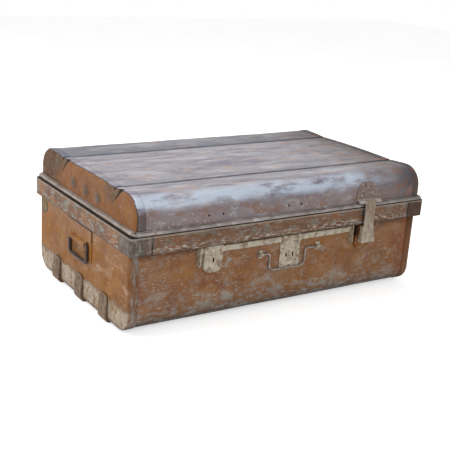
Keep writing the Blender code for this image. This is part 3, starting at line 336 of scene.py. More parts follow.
def end_enamel():
    """Tan enamel on the body's ends: dusty under the band, scraped to pale primer near the floor, with
    painted shade on the turned edge and above the handle plate.
    """
    bloom = both(patches(34, 0.52, 0.66, 8, (1, 1.6, 0.8)), zone("Y", 100, -160))
    flecks = patches(3.6, 0.6, 0.67, 9, (1, 3.2, 0.8), detail=4)
    rusty = both(zone("Y", 150, 215, 20, 40, 3), zone("Z", 130, 170, 10, 30, 5))
    scraped = both(zone("Z", 59, 53, 8, 15, 7), zone("Z", 6, 16, 4, 12, 1))
    scraped = both(scraped, patches(15, 0.36, 0.43, 21, (1, 0.8, 1.2)))
    rim = both(zone("Z", 62, 56, 8, 15, 7), zone("Z", 48, 54, 8, 15, 7))
    low = zone("Z", 16, 9, 3, 10, 4)
    # Painted shadow: a dark line under the band along the top of the handle plate
    seam = both(zone("Z", 170.5, 171.5), zone("y", 58.5, 57.5))
    turned = zone("x", 373.2, 370, 1, 20, 6)
    left = zone("X", 100, -100)
    lap = both(zone("x", 370, 368), left, patches(11, 0.48, 0.6, 31, (0.7, 1, 2.4)))
    right = both(zone("x", 370, 368), zone("X", -100, 100))
    white = both(zone("x", 371, 369), left, patches(3.6, 0.6, 0.67, 32, (0.6, 1, 2.4)))
    inside = zone("tab", 0.5, 0.6)
    relief = [(patches(2.5, seed=2), 0.08), (scraped, 0.1), (patches(34, 0.3, 0.7, 6), 0.6)]
    colour = coats(
        tan_coats(1),
        ("#8f6b52", zone("Z", 128, 176, 10, 30, 2), 0.55),
        ("#a5876e", bloom, 0.6),
        ("#b8aca0", flecks, patches(45, 0.48, 0.6, 10), 0.7),
        ("#a06a26", rusty, 0.7),
        ("#958875", scraped, 0.92),
        ("#76563c", scraped, patches(13, 0.52, 0.6, 23, (1, 0.9, 1.2)), 0.8),
        ("#aca394", scraped, patches(11, 0.52, 0.62, 24, (1, 0.9, 1.2)), 0.75),
        ("#c9c0b4", scraped, patches(4, 0.58, 0.66, 25, (1, 0.9, 1.2)), 0.7),
        ("#5d3f2a", rim, 0.5),
        ("#4a3527", low, 0.85),
        # painted shadow above the handle plate
        ("#2a1d15", seam, 0.85),
        ("#6b4b37", turned, 0.75),
        ("#83807c", lap, 0.7),
        ("#6a442c", right, 0.6),
        ("#3f2c20", right, zone("Z", 120, 168, 10, 20, 11), 0.75),
        ("#b5b2ac", white, 0.8),
        ("#55452c", inside, 0.85),
        ("#7d6d4c", inside, patches(9, 0.44, 0.6, 36), 0.6),
        ("#20160f", zone("tab", 0.36, 0.44), zone("tab", 0.64, 0.56), 0.95),
        # painted shade: a dark line on the turned edge at the back and along the bottom
        ("#3a2a1f", zone("rim", 0, 1), 0.8))
    return colour, (0.42, 0.62, patches(30, seed=4)), (0.0, 0.2, scraped), relief


def front_enamel():
    """Tan enamel on the wrapped sheet, flaked to blue-grey tin and pale primer, darkest under the band from
    painted shade and grime.
    """
    worn = patches(46, 0.46, 0.58, 47, (1.3, 1, 0.9))
    flakes = both(patches(11, 0.53, 0.6, 48, (1.2, 1, 1)), worn)
    specks = patches(5, 0.58, 0.64, 49, (1.3, 1, 0.9), detail=4)
    chips = both(patches(4, 0.6, 0.66, 53, (1.4, 1, 0.8), detail=4), patches(50, 0.46, 0.6, 54))
    rubs = both(zone("Z", 110, 60, 30, 60, 9), patches(26, 0.53, 0.63, 58, (1.6, 1, 1), twist=0.6))
    low = zone("Z", 55, 14, 12, 26, 5)
    low_worn = both(zone("Z", 80, 30, 12, 30, 6), patches(12, 0.5, 0.6, 57, (1.8, 1, 0.8)))
    # Painted shade and grime: dark brown just under the band, where the band's shadow falls
    shade_and_grime_under_band = zone("Z", 155, 173, 4, 20, 8)
    right = zone("X", 300, 352, 12, 34, 3)
    streaks = patches(2.2, 0.6, 0.67, 61, (5, 1, 0.8), detail=4)
    relief = [(patches(2.5, seed=42), 0.08), (flakes, -0.12), (patches(40, 0.3, 0.7, 46), 0.8)]
    colour = coats(
        tan_coats(41),
        ("#7b5a45", patches(75, 0.34, 0.56, 45), 0.7),
        ("#8f7257", patches(38, 0.5, 0.64, 51, (1.5, 1, 0.8)), 0.55),
        ("#6d4331", patches(30, 0.53, 0.66, 52, (1, 1, 1.4)), 0.6),
        ("#7e817f", flakes, 0.6),
        ("#a09f98", specks, worn, patches(60, 0.42, 0.56, 50), 0.8),
        ("#b5aca0", chips, zone("Z", 130, 80, 30, 60, 4), 0.8),
        ("#8f8a80", rubs, 0.65),
        ("#57473b", low, 0.75),
        ("#878a88", low_worn, 0.75),
        # the band's shadow painted in, with grime
        ("#41281b", shade_and_grime_under_band, 0.85),
        ("#78472a", right, 0.6),
        ("#b6afa4", streaks, patches(60, 0.48, 0.6, 62), 0.6),
        # painted shade: a dark line along the bottom edge, where the sheet turns under
        ("#201813", zone("Z", 32, 15, 4, 16, 6), 0.9))
    return colour, (0.4, 0.6, patches(25, seed=44)), (0.0, 0.3, flakes), relief


def band_enamel():
    """Paint on the rim band, handled down to a grey and brown mottle, barest at the front corners."""
    grey = patches(12, 0.53, 0.61, 73, (1.8, 1.8, 0.7))
    front = zone("Y", -225, -235)
    low = both(front, zone("Z", 192, 186, 3, 20, 7), patches(4.5, 0.52, 0.62, 80, (3.0, 1, 0.6)))
    far = both(front, zone("X", 322, 336, 2, 10, 5))
    seam = both(front, zone("x", BAND_JOINT / MM - 2, BAND_JOINT / MM - 1.2),
                zone("x", BAND_JOINT / MM + 2.4, BAND_JOINT / MM + 1.6))
    corner = both(zone("X", -325, -350, 12, 24, 2), zone("Y", -180, -215, 14, 24, 4))
    relief = [(patches(2.5, seed=72), 0.08), (grey, -0.08), (patches(36, 0.3, 0.7, 76), 0.6)]
    colour = coats(
        "#775943",
        ("#593c2b", patches(26, 0.46, 0.6, 71, (1.8, 1.8, 0.7)), 0.8),
        ("#8d5e36", patches(34, 0.52, 0.63, 75, (1.6, 1.6, 0.8)), 0.7),
        ("#828582", grey, 0.75),
        ("#728079", patches(20, 0.56, 0.63, 78, (1.4, 1.4, 0.8)), 0.6),
        ("#b8aea2", patches(4.5, 0.6, 0.66, 77, (2.2, 2.2, 0.7), detail=4), 0.8),
        ("#5b4335", front, 0.5),
        ("#b9b1a6", low, 0.8),
        ("#3b2c24", far, 0.8),
        ("#17110d", seam, 0.9),
        ("#4f4944", corner, 0.85),
        ("#868684", corner, patches(7, 0.5, 0.6, 79, (0.8, 0.8, 1.4)), 0.7),
        ("#3a2a20", zone("Z", 180, 175.5, 1, 10, 3), 0.7),
        ("#a39a8e", zone("Z", 208.5, 210.5, 1, 12, 6), 0.45),
        # painted shade of the gap under the lid's bead, along the band's top
        ("#17110e", zone("Z", 212, 213.2), 0.93))
    return colour, (0.42, 0.6, patches(18, seed=74)), (0.05, 0.4, grey), relief


def tin_coats():
    """Colours of the lid's tinned sheet: lavender grey in long streaks, rosy where paint is left, with a
    painted highlight on the front rounding and painted shade at the grooves and towards the far right.
    """
    rear = zone("Y", GROOVES[1] / MM - 2, GROOVES[1] / MM + 6, 4, 50, 11)
    # Painted highlight: a bluish-white reflection along the front rounding, fading out to the right
    shine = both(zone("Y", -196, -214, 5, 40, 5), zone("Z", 256, 270, 6, 30, 8))
    shine = both(shine, zone("X", 340, 180, 30, 60, 14))
    face = zone("Y", -216, -226.5, 5, 26, 6)
    lower = both(face, zone("Z", 264, 250, 8, 30, 9))
    flecks = both(lower, patches(4, 0.6, 0.67, 105, (1.5, 1, 1), detail=4), patches(40, 0.46, 0.58, 106))
    back = zone("Y", 214, 224.5, 6, 26, 6)
    right = zone("X", 160, 330, 30, 50, 7)
    # Painted shade: the lid darker towards its far right end
    far_right_painted_shade = zone("X", 296, 335, 10, 24, 15)
    return coats(
        "#858288",
        ("#666270", patches(50, 0.45, 0.6, 91, (3.4, 0.8, 1)), 0.8),
        ("#a7a5ab", patches(40, 0.5, 0.63, 93, (2.6, 0.7, 1)), 0.7),
        ("#9a8279", patches(30, 0.53, 0.64, 95, (1.8, 0.9, 1)), 0.7),
        ("#ab937f", patches(12, 0.6, 0.68, 97, (1.4, 0.9, 1)), 0.6),
        ("#4b4751", patches(7, 0.57, 0.66, 99, (14, 0.7, 1)), 0.7),
        ("#c9c7c8", patches(3.5, 0.61, 0.68, 98, (5, 0.8, 1), detail=4), 0.6),
        ("#4f545c", rear, patches(30, 0.34, 0.56, 110, (4, 0.8, 1)), 0.8),
        # painted shade: soft blue-grey bands on both sides of each groove
        *[("#666b76", zone("Y", groove / MM - 16, groove / MM - 4, 6, 40, 12),
           zone("Y", groove / MM + 26, groove / MM + 6, 8, 40, 13),
           patches(16, 0.36, 0.58, 114, (6, 0.8, 1)), 0.6) for groove in GROOVES],
        # painted highlight on the front rounding
        ("#adb8c6", shine, patches(24, 0.34, 0.5, 100, (2.6, 1, 0.8)), 0.85),
        ("#6f6263", lower, 0.88),
        ("#6e5140", lower, patches(26, 0.49, 0.6, 101, (1.6, 1, 0.8)), 0.85),
        ("#8b8889", lower, patches(16, 0.55, 0.63, 103, (1.6, 1, 0.8)), 0.7),
        ("#b3aeaa", flecks, 0.8),
        ("#6d5a52", back, 0.7),
        ("#4f4443", right, 0.75),
        ("#38363b", far_right_painted_shade, 0.75),
        ("#744c36", right, patches(22, 0.5, 0.6, 108), 0.6),
        # painted shade: a thin dark line in each groove
        *[("#2d2a32", zone("Y", groove / MM - 6, groove / MM - 2.5, 1.2, 30, 5),
           zone("Y", groove / MM + 6, groove / MM + 2.5, 1.2, 30, 6), 0.92) for groove in GROOVES],
        ("#3a3336", patches(3.2, 0.66, 0.73, 107, detail=3), 0.6))


def lid_steel():
    """Tinned sheet of the lid with its paint rubbed off, dull and streaked, rusty low on the front."""
    rust = zone("Z", 262, 248, 10, 30, 9)
    streaks = patches(7, 0.57, 0.66, 99, (14, 0.7, 1))
    relief = [(patches(2.5, seed=92), 0.06), (streaks, -0.12),
              (patches(46, 0.3, 0.7, 96, (2, 1, 1)), 1.0)]
    return tin_coats(), (0.34, 0.55, patches(22, 0.35, 0.65, 94, (2, 1, 1))), (0.45, 0.1, rust), relief


def lid_end_enamel():
    """Pressed lid ends: grey tin over the turned edge, tan enamel on the face, bosses rubbed to tin, and
    painted shade in the gussets.
    """
    face = zone("edge", 0.26, 0.31, 0.08, 16, 2)
    line = zone("edge", 0.15, 0.2, 0.08, 16, 2)
    flange = both(zone("Z", 262, 254, 2, 12, 3), zone("Y", -200, -215))
    tan = coats(tan_coats(111), ("#794e36", patches(40, 0.36, 0.58, 121), 0.7))
    grey = both(face, patches(12, 0.55, 0.63, 115, (1, 1.5, 0.9)))
    rubbed = both(zone("boss", 0, 1), patches(8, 0.3, 0.48, 118))
    wall = zone("fold", 0.1, 0.75)
    flecks = patches(3.4, 0.61, 0.68, 119, (1, 2.4, 1), detail=4)
    relief = [(patches(2.5, seed=112), 0.08), (patches(32, 0.3, 0.7, 116), 0.8)]
    colour = coats(
        tin_coats(),
        # partly painted shade, partly dirt: dark on the front flange low down, beside the body
        ("#4f4743", flange, 0.8),
        # partly painted shade, partly dirt: a dark line on the turned edge between the tan face and the
        # grey top
        ("#3f322d", line, 0.85),
        (tan, face),
        ("#86543a", face, zone("Z", 232, 218, 6, 26, 4), 0.5),
        ("#4c3220", face, zone("Y", 100, 160, 20, 40, 6), 0.9),
        # partly painted shade, partly dirt: a dark patch behind each gusset near the top
        *[("#564c40", face, zone("Z", 246, 264, 5, 16, 9),
           zone("Y", groove / MM - 8, groove / MM + 2),
           zone("Y", groove / MM + 52, groove / MM + 22, 8, 20, 10),
           patches(9, 0.34, 0.54, 124), 0.8) for groove in GROOVES],
        ("#7b6654", grey, 0.45),
        ("#544e49", rubbed, 0.95),
        # partly painted shade: each gusset's broad facet darker brownish grey, with olive wear patches
        ("#635247", wall, 0.8),
        ("#77725c", wall, patches(9, 0.46, 0.6, 122), 0.7),
        # painted shade in each gusset's slit
        ("#1f1510", zone("crease", 0, 1), 0.95),
        ("#a3907c", flecks, face, patches(40, 0.48, 0.6, 123), 0.6))
    return colour, (0.42, 0.62, patches(18, seed=114)), (0.3, 0.05, face), relief


def ramp(value, start, full):
    """0 up to start, 1 from full on, and a straight rise between them."""
    return np.clip((value - start) / (full - start), 0, 1)


def path_arc(centre, radius, start, end, steps):
    """Points of an arc in degrees, anticlockwise from the first axis."""
    turn = np.radians(np.linspace(start, end, steps + 1))
    return np.column_stack([centre[0] + radius * np.cos(turn), centre[1] + radius * np.sin(turn)])


def moved_left(path, distance):
    """A path moved sideways to its left: each corner goes along its mitre."""
    steps = np.diff(path, axis=0)
    normals = np.column_stack([-steps[:, 1], steps[:, 0]]) / np.linalg.norm(steps, axis=1)[:, None]
    mitre = np.vstack([normals[:1], normals]) + np.vstack([normals, normals[-1:]])
    return path + mitre * (2 * distance / (mitre ** 2).sum(axis=1))[:, None]


def finer(rings, spacing):
    """Rings of matching stations with every long step cut into equal shares, measured on the first ring."""
    first = rings[0]
    lengths = np.linalg.norm(np.diff(first, axis=0), axis=1)
    counts = np.maximum(1, np.round(lengths / spacing).astype(int))
    index = np.repeat(np.arange(len(counts)), counts)
    share = np.concatenate([np.arange(c) / c for c in counts])[:, None]
    return [np.vstack([r[index] * (1 - share) + r[index + 1] * share, r[-1:]]) for r in rings]


def body_section():
    """The body's section from the front rim down, under the bottom and up the back, as (y, z)."""
    low = BODY_BASE_Z + BODY_RADIUS
    side = BODY_Y - BODY_RADIUS
    return np.vstack([[(-BODY_Y, RIM_Z)], path_arc((-side, low), BODY_RADIUS, 180, 270, 24),
                      path_arc((side, low), BODY_RADIUS, 270, 360, 24), [(BODY_Y, RIM_Z)]])


def knocked_sheet(section, node, step, knock):
    """A wrapped sheet: a section in y and z, moved in by its gauge, carried along x over its node's length
    and pushed in, square to itself, by what knock gives for x, the way along the section, y and z."""
    low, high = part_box(node)
    (ring,) = finer([moved_left(section, SHEET + GAP)], step)
    x, run = np.meshgrid(np.linspace(low.x, high.x, 151), np.arange(len(ring)) * step)
    ahead = np.gradient(ring, axis=0)
    inward = np.column_stack([-ahead[:, 1], ahead[:, 0]]) / np.linalg.norm(ahead, axis=1)[:, None]
    push = knock(x, run, *ring.T[..., None])
    y, z = (ring[:, k:k + 1] + inward[:, k:k + 1] * push for k in (0, 1))
    return np.stack([x, y, z], axis=-1)


def pan_rings(section, edge_x, flange, radius, steps, spacing, spread, base, count):
    """A pan's rings in y and z: the section moved in at each station of its flange and of a quarter turn,
    then shrunk in even shares on to a low line of its own, spread times as wide.
    Gives the stations along x, the rings and each ring's share."""
    stations = [(edge_x - PAN_FLANGE + step, inset) for step, inset in flange]
    stations += [(edge_x - radius * (1 - math.sin(t)), radius * (1 - math.cos(t)))
                 for t in np.radians(np.linspace(0, 90, steps))]
    rings = finer([moved_left(section, inset) for _, inset in stations], spacing)
    core = np.column_stack([rings[-1][:, 0] * spread, np.full(len(rings[0]), base)])
    shares = np.linspace(0, 1, count + 1)[1:]
    rings += [rings[-1] * (1 - share) + core * share for share in shares]
    share = np.concatenate([np.zeros(len(stations)), shares])[:, None]
    return [[x] for x, _ in stations], np.stack(rings), share


def lobe(start, end, steps=9):
    """Inner points of a lobe: y goes evenly, z falls with the square of the share."""
    share = np.linspace(0, 1, steps + 1)[1:-1]
    (y, z), (end_y, end_z) = start, end
    return np.column_stack([y + (end_y - y) * share, z + (end_z - z) * share ** 2])


def lid_section():
    """The lid's section from the back edge over three lobes and two grooves to the front, as (y, z)."""
    side = LID_Y - LID_RADIUS
    high = LID_TOP_Z - LID_RADIUS
    shoulder = LID_TOP_Z - LOBE_FALL
    half = GROOVE_WIDTH / 2
    front, back = GROOVES
    crown = ((back + front) / 2, shoulder + CROWN_RISE)
    low = shoulder - GROOVE_DEPTH
    return np.vstack([
        [(LID_Y, LID_BASE_Z)], path_arc((side, high), LID_RADIUS, 0, 90, 24),
        lobe((side, LID_TOP_Z), (back + half, shoulder), 6),
        [(back + half, shoulder), (back, low), (back - half, shoulder)],
        lobe(crown, (back - half, shoulder))[::-1], [crown], lobe(crown, (front + half, shoulder)),
        [(front + half, shoulder), (front, low), (front - half, shoulder)],
        lobe((-side, LID_TOP_Z), (front - half, shoulder), 6)[::-1],
        path_arc((-side, high), LID_RADIUS, 90, 180, 24), [(-LID_Y, LID_BASE_Z)]])


def ripple(a, b, seed=0.0):
    """Soft knocks from 0 to 1: four crossed sines of 70 to 260 mm with fixed phases, squared."""
    total = 0.0
    for size, turn, phase in ((0.26, 0.3, 1.1), (0.17, 1.9, 2.7), (0.11, 0.9, 4.2), (0.07, 2.6, 0.4)):
        along = a * math.cos(turn) + b * math.sin(turn)
        total = total + size * np.sin(along / size * 6.283 + phase + seed)
    return (0.5 + 0.8 * total) ** 2


def soft_least(a, b, blend):
    """The smaller of two heights, rounded over a blend width where they meet."""
    share = np.clip(0.5 + 0.5 * (b - a) / blend, 0, 1)
    return b * (1 - share) + a * share - blend * share * (1 - share)


def fold_depth(y, z):
    """How far out a lid end may come at each folded gusset, and how much painted shade its slit gets at
    each point.
    The slit leans forward; behind it a broad facet falls in, before it a narrow one comes back out."""
    slope = GUSSET_RECESS / (GUSSET_LENGTH - GROOVE_DEPTH)
    rise = z - (LID_TOP_Z - LOBE_FALL - GUSSET_LENGTH)
    out = np.full_like(y, 1.0)
    dark = np.zeros_like(y)
    for groove in GROOVES:
        across = y - groove
        behind = across + (GUSSET_LEAN + GUSSET_STEP) * rise
        broad = slope * (GUSSET_SPREAD * rise - across) / (GUSSET_SPREAD + GUSSET_LEAN)
        narrow = slope * behind / GUSSET_STEP
        out = np.minimum(out, LID_X - soft_least(broad, narrow, 0.8 * MM))
        # painted shade in the slit: dark on its near side, wider higher up, so it shows past the narrow
        # facet's edge
        before = SLIT_SPREAD * rise + 1.2 * MM - behind
        dark = np.maximum(dark, ramp(before, 0, 2.5 * MM) * ramp(behind, -MM, 0))
    return out, dark


def round_holes(points, spots, radius):
    """Punched holes in a grid of points: the four quads round the nearest point to each spot give way to
    eight five-sided faces between their outline and a circle of sixteen points."""
    rows, columns = points.shape[:2]
    keep = np.ones((rows - 1, columns - 1), dtype=bool)
    rim, faces = [], []
    turn = np.radians(np.arange(16) * 22.5)
    round_about = ((0, 1), (1, 1), (1, 0), (1, -1), (0, -1), (-1, -1), (-1, 0), (-1, 1))
    for spot in spots:
        row, column = np.unravel_index(np.linalg.norm(points - spot, axis=-1).argmin(), (rows, columns))
        keep[row - 1:row + 1, column - 1:column + 1] = False
        step_x = points[row, column + 1] - points[row, column]
        step_z = points[row + 1, column] - points[row, column]
        ring = np.cos(turn)[:, None] * step_x / np.linalg.norm(step_x)
        ring = ring + np.sin(turn)[:, None] * step_z / np.linalg.norm(step_z)
        start = rows * columns + 16 * len(rim)
        rim.append(points[row, column] + radius * ring)
        corners = [(row + a) * columns + column + b for a, b in round_about]
        for k in range(8):
            inner = [start + (2 * k + step) % 16 for step in (2, 1, 0)]
            faces.append((corners[k], corners[(k + 1) % 8], *inner)[::-1])
    return keep, np.concatenate(rim), faces


def grid_mesh(name, points, keep=None, wrap=(False, False), flip=False, more=None):
    """A mesh of quads over a grid of points; either way round may close, keep drops some quads, and more
    adds points and faces of their own."""
    rows, columns = points.shape[:2]
    index = np.arange(rows * columns).reshape(rows, columns)
    if wrap[0]:
        index = np.vstack([index, index[:1]])
    if wrap[1]:
        index = np.hstack([index, index[:, :1]])
    quads = np.stack([index[:-1, :-1], index[1:, :-1], index[1:, 1:], index[:-1, 1:]], axis=-1)
    quads = quads[keep] if keep is not None else quads.reshape(-1, 4)
    if flip:
        quads = quads[:, ::-1]
    extra, faces = more or (np.empty((0, 3)), [])
    mesh = bpy.data.meshes.new(name)
    mesh.from_pydata(np.vstack([points.reshape(-1, 3), extra]), [], quads.tolist() + faces)
    mesh.shade_smooth()
    return mesh


def mark(mesh, name, values):
    """Store a mask on the mesh, one value for each of its points."""
    mesh.attributes.new(name, "FLOAT", "POINT").data.foreach_set("value", values.astype(np.float32).ravel())


def piece(name, mesh, nodes, body, finish, wall=0.0, lining=None):
    """Put a mesh in the scene: the nodes it stands for, its body, finish, sheet wall and lining."""
    thing = bpy.data.objects.new(name, mesh)
    bpy.context.scene.collection.objects.link(thing)
    mesh.materials.clear()
    mesh.materials.append(finish)
    if wall:
        solid = thing.modifiers.new("wall", "SOLIDIFY")
        solid.thickness = wall
        solid.offset = -1
        if lining:
            mesh.materials.append(lining)
            solid.material_offset = 1
    if nodes:
        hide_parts(*nodes)
    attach(thing, body)
    return thing


def make_body(finish, front_finish, lining):
    """The body's wrapped sheet and its two pressed end pans, with soft knocks pressed in."""
    section = body_section()
    points = knocked_sheet(section, "body_wrap", BODY_STEP, lambda x, run, y, z: (
        BODY_KNOCK * ripple(x, run) * ramp(np.abs(x), *BODY_KNOCK_END) * ramp(z, *BODY_KNOCK_TOP)))
    x, y, z = np.moveaxis(points[:-1, :-1] + points[1:, 1:], -1, 0) / 2
    low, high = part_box("lock_plate")
    cut = (np.abs(x - (low.x + high.x) / 2) < LOCK_HALF) & (y < 0)
    cut &= (z > low.z + LOCK_LOW) & (z < low.z + LOCK_HIGH)
    mesh = grid_mesh("body_sheet", points, keep=~cut)
    piece("body_sheet", mesh, ["body_wrap"], "trunk", front_finish, SHEET, lining)
    edge, flat, share = pan_rings(section, BODY_X, ((0, 0),), PAN_RADIUS, 9, *BODY_FACE)
    y, z = flat[..., 0], flat[..., 1]
    for name, side in SIDES:
        push = ripple(y, z, side * 1.7) * ramp(share, 0, 1 / 8)
        out = BODY_X - BODY_PAN_KNOCK * push * ramp(z, *BODY_KNOCK_TOP)
        out[:len(edge)] = edge
        mesh = grid_mesh("body_pan_" + name, np.stack([side * out, y, z], axis=-1), flip=side > 0)
        round_off = np.hypot(y - TAB_Y, (z - TAB_Z) * TAB_SQUASH)
        mark(mesh, "tab", ramp(round_off, *TAB_FADE) * ((side < 0) & (out > BODY_X - PAN_RADIUS / 2)))
        mark(mesh, "rim", ramp(BODY_X - out, *EDGE_LINE) * ((y > EDGE_LINE_Y) | (z < EDGE_LINE_Z)))
        piece("body_pan_" + name, mesh, ["body_end_" + name], "trunk", finish, SHEET, lining)


def make_lid(top_finish, end_finish, lining):
    """The lid's wrapped sheet with its grooves, and the two end pans with gussets and bosses."""
    def knock(x, run, y, z):
        near_groove = np.minimum(np.abs(y - GROOVES[0]), np.abs(y - GROOVES[1]))
        fade = ramp(np.abs(x), *LID_KNOCK_END) * ramp(z, *LID_KNOCK_LOW)
        fade = fade * (GROOVE_SHARE + (1 - GROOVE_SHARE) * ramp(near_groove, 0, GROOVE_CALM))
        return LID_KNOCK * ripple(x * 0.8, run, 2.0) * fade

    section = lid_section()
    points = knocked_sheet(section, "lid_wrap", LID_STEP, knock)
    limit = fold_depth(points[..., 1], points[..., 2])[0] - 1.5 * (SHEET + GAP)
    points[..., 0] = np.clip(points[..., 0], -limit, limit)
    spots = [(centre + step, -LID_Y, HOLE_Z) for centre in HOLE_PLACES for step in (-HOLE_STEP, HOLE_STEP)]
    keep, rim, faces = round_holes(points, spots, HOLE_RADIUS)
    mesh = grid_mesh("lid_sheet", points, keep=keep, more=(rim, faces))
    ends = np.empty(len(mesh.edges) * 2, dtype=np.int32)
    mesh.edges.foreach_get("vertices", ends)
    round_rim = (ends.reshape(-1, 2) >= limit.size).all(axis=1)
    mesh.attributes.new("sharp_edge", "BOOLEAN", "EDGE").data.foreach_set("value", round_rim)
    piece("lid_sheet", mesh, ["lid_wrap"], "lid", top_finish, SHEET, lining)
    edge_x, flat, share = pan_rings(section, LID_X, LID_FLANGE, LID_PAN_RADIUS, LID_TURNS, *LID_FACE)
    y, z = flat[..., 0], flat[..., 1]
    turned = np.linspace(0, 1, LID_TURNS)
    turned = np.concatenate([np.zeros(len(LID_FLANGE)), (np.sin(turned * math.pi / 2) + turned) / 2])
    edge = 1 + np.linalg.norm(flat - flat[len(edge_x) - 1], axis=-1) / (10 * MM)
    edge[:len(edge_x)] = turned[:, None]
    fold, dark = fold_depth(y, z)
    bosses = 0
    for step in (-1, 0, 1):
        a = (y - sum(GROOVES) / 2 - step * BOSS_PITCH) / BOSS_HALF[0]
        b = (z - LID_TOP_Z + BOSS_DROP) / BOSS_HALF[1]
        bosses = bosses + BOSS_PROUD * np.clip(1 - a ** 2 - b ** 2, 0, 1) ** 0.75
    middle = (flat[:-1, :-1] + flat[1:, 1:]) / 2
    keep = (middle[..., 1] >= TAIL_TOP) | (np.abs(middle[..., 0]) <= LID_Y - TAIL_DEPTH)
    for name, side in SIDES:
        push = LID_PAN_KNOCK * ripple(y, z, side * 0.9) * ramp(share, 0, 1 / 6)
        out = LID_X - push * ramp(z, *LID_PAN_KNOCK_LOW) + bosses
        out[:len(edge_x)] = edge_x
        points = np.stack([side * soft_least(out, fold, 1.2 * MM), y, z], axis=-1)
        mesh = grid_mesh("lid_pan_" + name, points, keep=keep, flip=side > 0)
        folded = ramp(np.minimum(LID_X, out) - fold, 0, 5 * MM)
        mark(mesh, "fold", folded)
        mark(mesh, "crease", dark * ramp(folded, 0, 1 / 8))
        mark(mesh, "boss", ramp(out, LID_X, LID_X + 2.5 * MM))
        mark(mesh, "edge", edge / 2)
        piece("lid_pan_" + name, mesh, ["lid_end_" + name], "lid", end_finish, SHEET, lining)


def tube(points, radius, sides=14, closed=False):
    """A round rod: a circle carried along a flat path, square to it. An open rod gets two rounded ends."""
    ahead = np.roll(points, -1, 0) - np.roll(points, 1, 0) if closed else np.gradient(points, axis=0)
    ahead /= np.linalg.norm(ahead, axis=1)[:, None]
    across = np.cross(ahead, np.linalg.svd(points - points.mean(axis=0))[2][-1])
    across /= np.linalg.norm(across, axis=1)[:, None]
    lift = np.cross(across, ahead)
    turn = np.linspace(0, 2 * math.pi, sides, endpoint=False)[None, :, None]
    rings = points[:, None] + radius * (np.cos(turn) * across[:, None] + np.sin(turn) * lift[:, None])
    if closed:
        return rings
    first, last = [[points[spot] + (rings[spot] - points[spot]) * share + ahead[spot] * radius * out
                    for share, out in ends] for spot, ends in ((0, ((0, -0.32), (0.8, -0.25))),
                                                               (-1, ((0.8, 0.25), (0, 0.32))))]
    return np.concatenate([first, rings, last])


def bent(points, corners, steps=8):
    """A flat path with its corners rounded, each by its own radius, as square bends of a rod."""
    points = np.array(points, dtype=float)
    turn = np.linspace(0, math.pi / 2, steps + 1)[:, None]
    path = [points[:1]]
    for before, here, after, radius in zip(points, points[1:], points[2:], corners):
        a, b = ((other - here) / np.linalg.norm(other - here) for other in (before, after))
        path.append(here + (a + b - b * np.cos(turn) - a * np.sin(turn)) * radius)
    return np.vstack([*path, points[-1:]])


def square(half, low, high):
    """A closed rectangle from the middle of its low side, as the corners of a bent rod."""
    return [(0, low), (half, low), (half, high), (-half, high), (-half, low), (0, low)]


def make_rod(name, node, axis, corners, bends, body, finish, sides=14):
    """A round rod bent in the plane across an axis, as thick as its node's box is along that axis."""
    low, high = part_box(node)
    closed = corners[0] == corners[-1]
    path = bent(corners, bends)
    path = np.insert(path[:-1] if closed else path, axis, (low[axis] + high[axis]) / 2, axis=1)
    rod = tube(path, (high[axis] - low[axis]) / 2, sides, closed)
    piece(name, grid_mesh(name, rod, wrap=(closed, True)), [node], body, finish)


def make_bead(sheet_finish, wire_finish):
    """Four strips rolled round a wire along the lid's lower edge: a tail and most of a circle, knocked."""
    radius = BEAD_RADIUS
    for name, axis, side in (("front", 1, -1), ("back", 1, 1), ("left", 0, -1), ("right", 0, 1)):
        low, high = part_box("lid_bead_" + name)
        centre = (max(-low[axis], high[axis]) - radius, low.z + radius)
        tail = [(centre[0] - radius, z) for z in np.linspace(high.z, centre[1] + 0.8 * MM, 4)]
        section = np.vstack([tail, path_arc(centre, radius, 180, 180 + BEAD_TURN, 30)])
        along = np.linspace(low[1 - axis], high[1 - axis], 161)[:, None]
        wave = BEAD_KNOCK * ripple(along * 1.6, along * 0.4, side + axis)
        out = section[:, 0] - wave * ramp(section[:, 0], centre[0] - radius, centre[0] + radius)
        points = np.empty((*out.shape, 3))
        points[..., axis] = side * out
        points[..., 1 - axis] = along
        points[..., 2] = section[:, 1]
        mesh = grid_mesh("lid_bead_roll_" + name, points, flip=(side > 0) == (axis == 1))
        piece("lid_bead_roll_" + name, mesh, ["lid_bead_" + name], "lid", sheet_finish,
              BEAD_SHEET)
    low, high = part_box("lid_rim_wire")
    wire_radius = (high.z - low.z) / 2
    x, y = high.x - wire_radius, high.y - wire_radius
    make_rod("lid_bead_wire", "lid_rim_wire", 2, square(x, -y, y), [5 * MM] * 4, "lid",
             wire_finish)


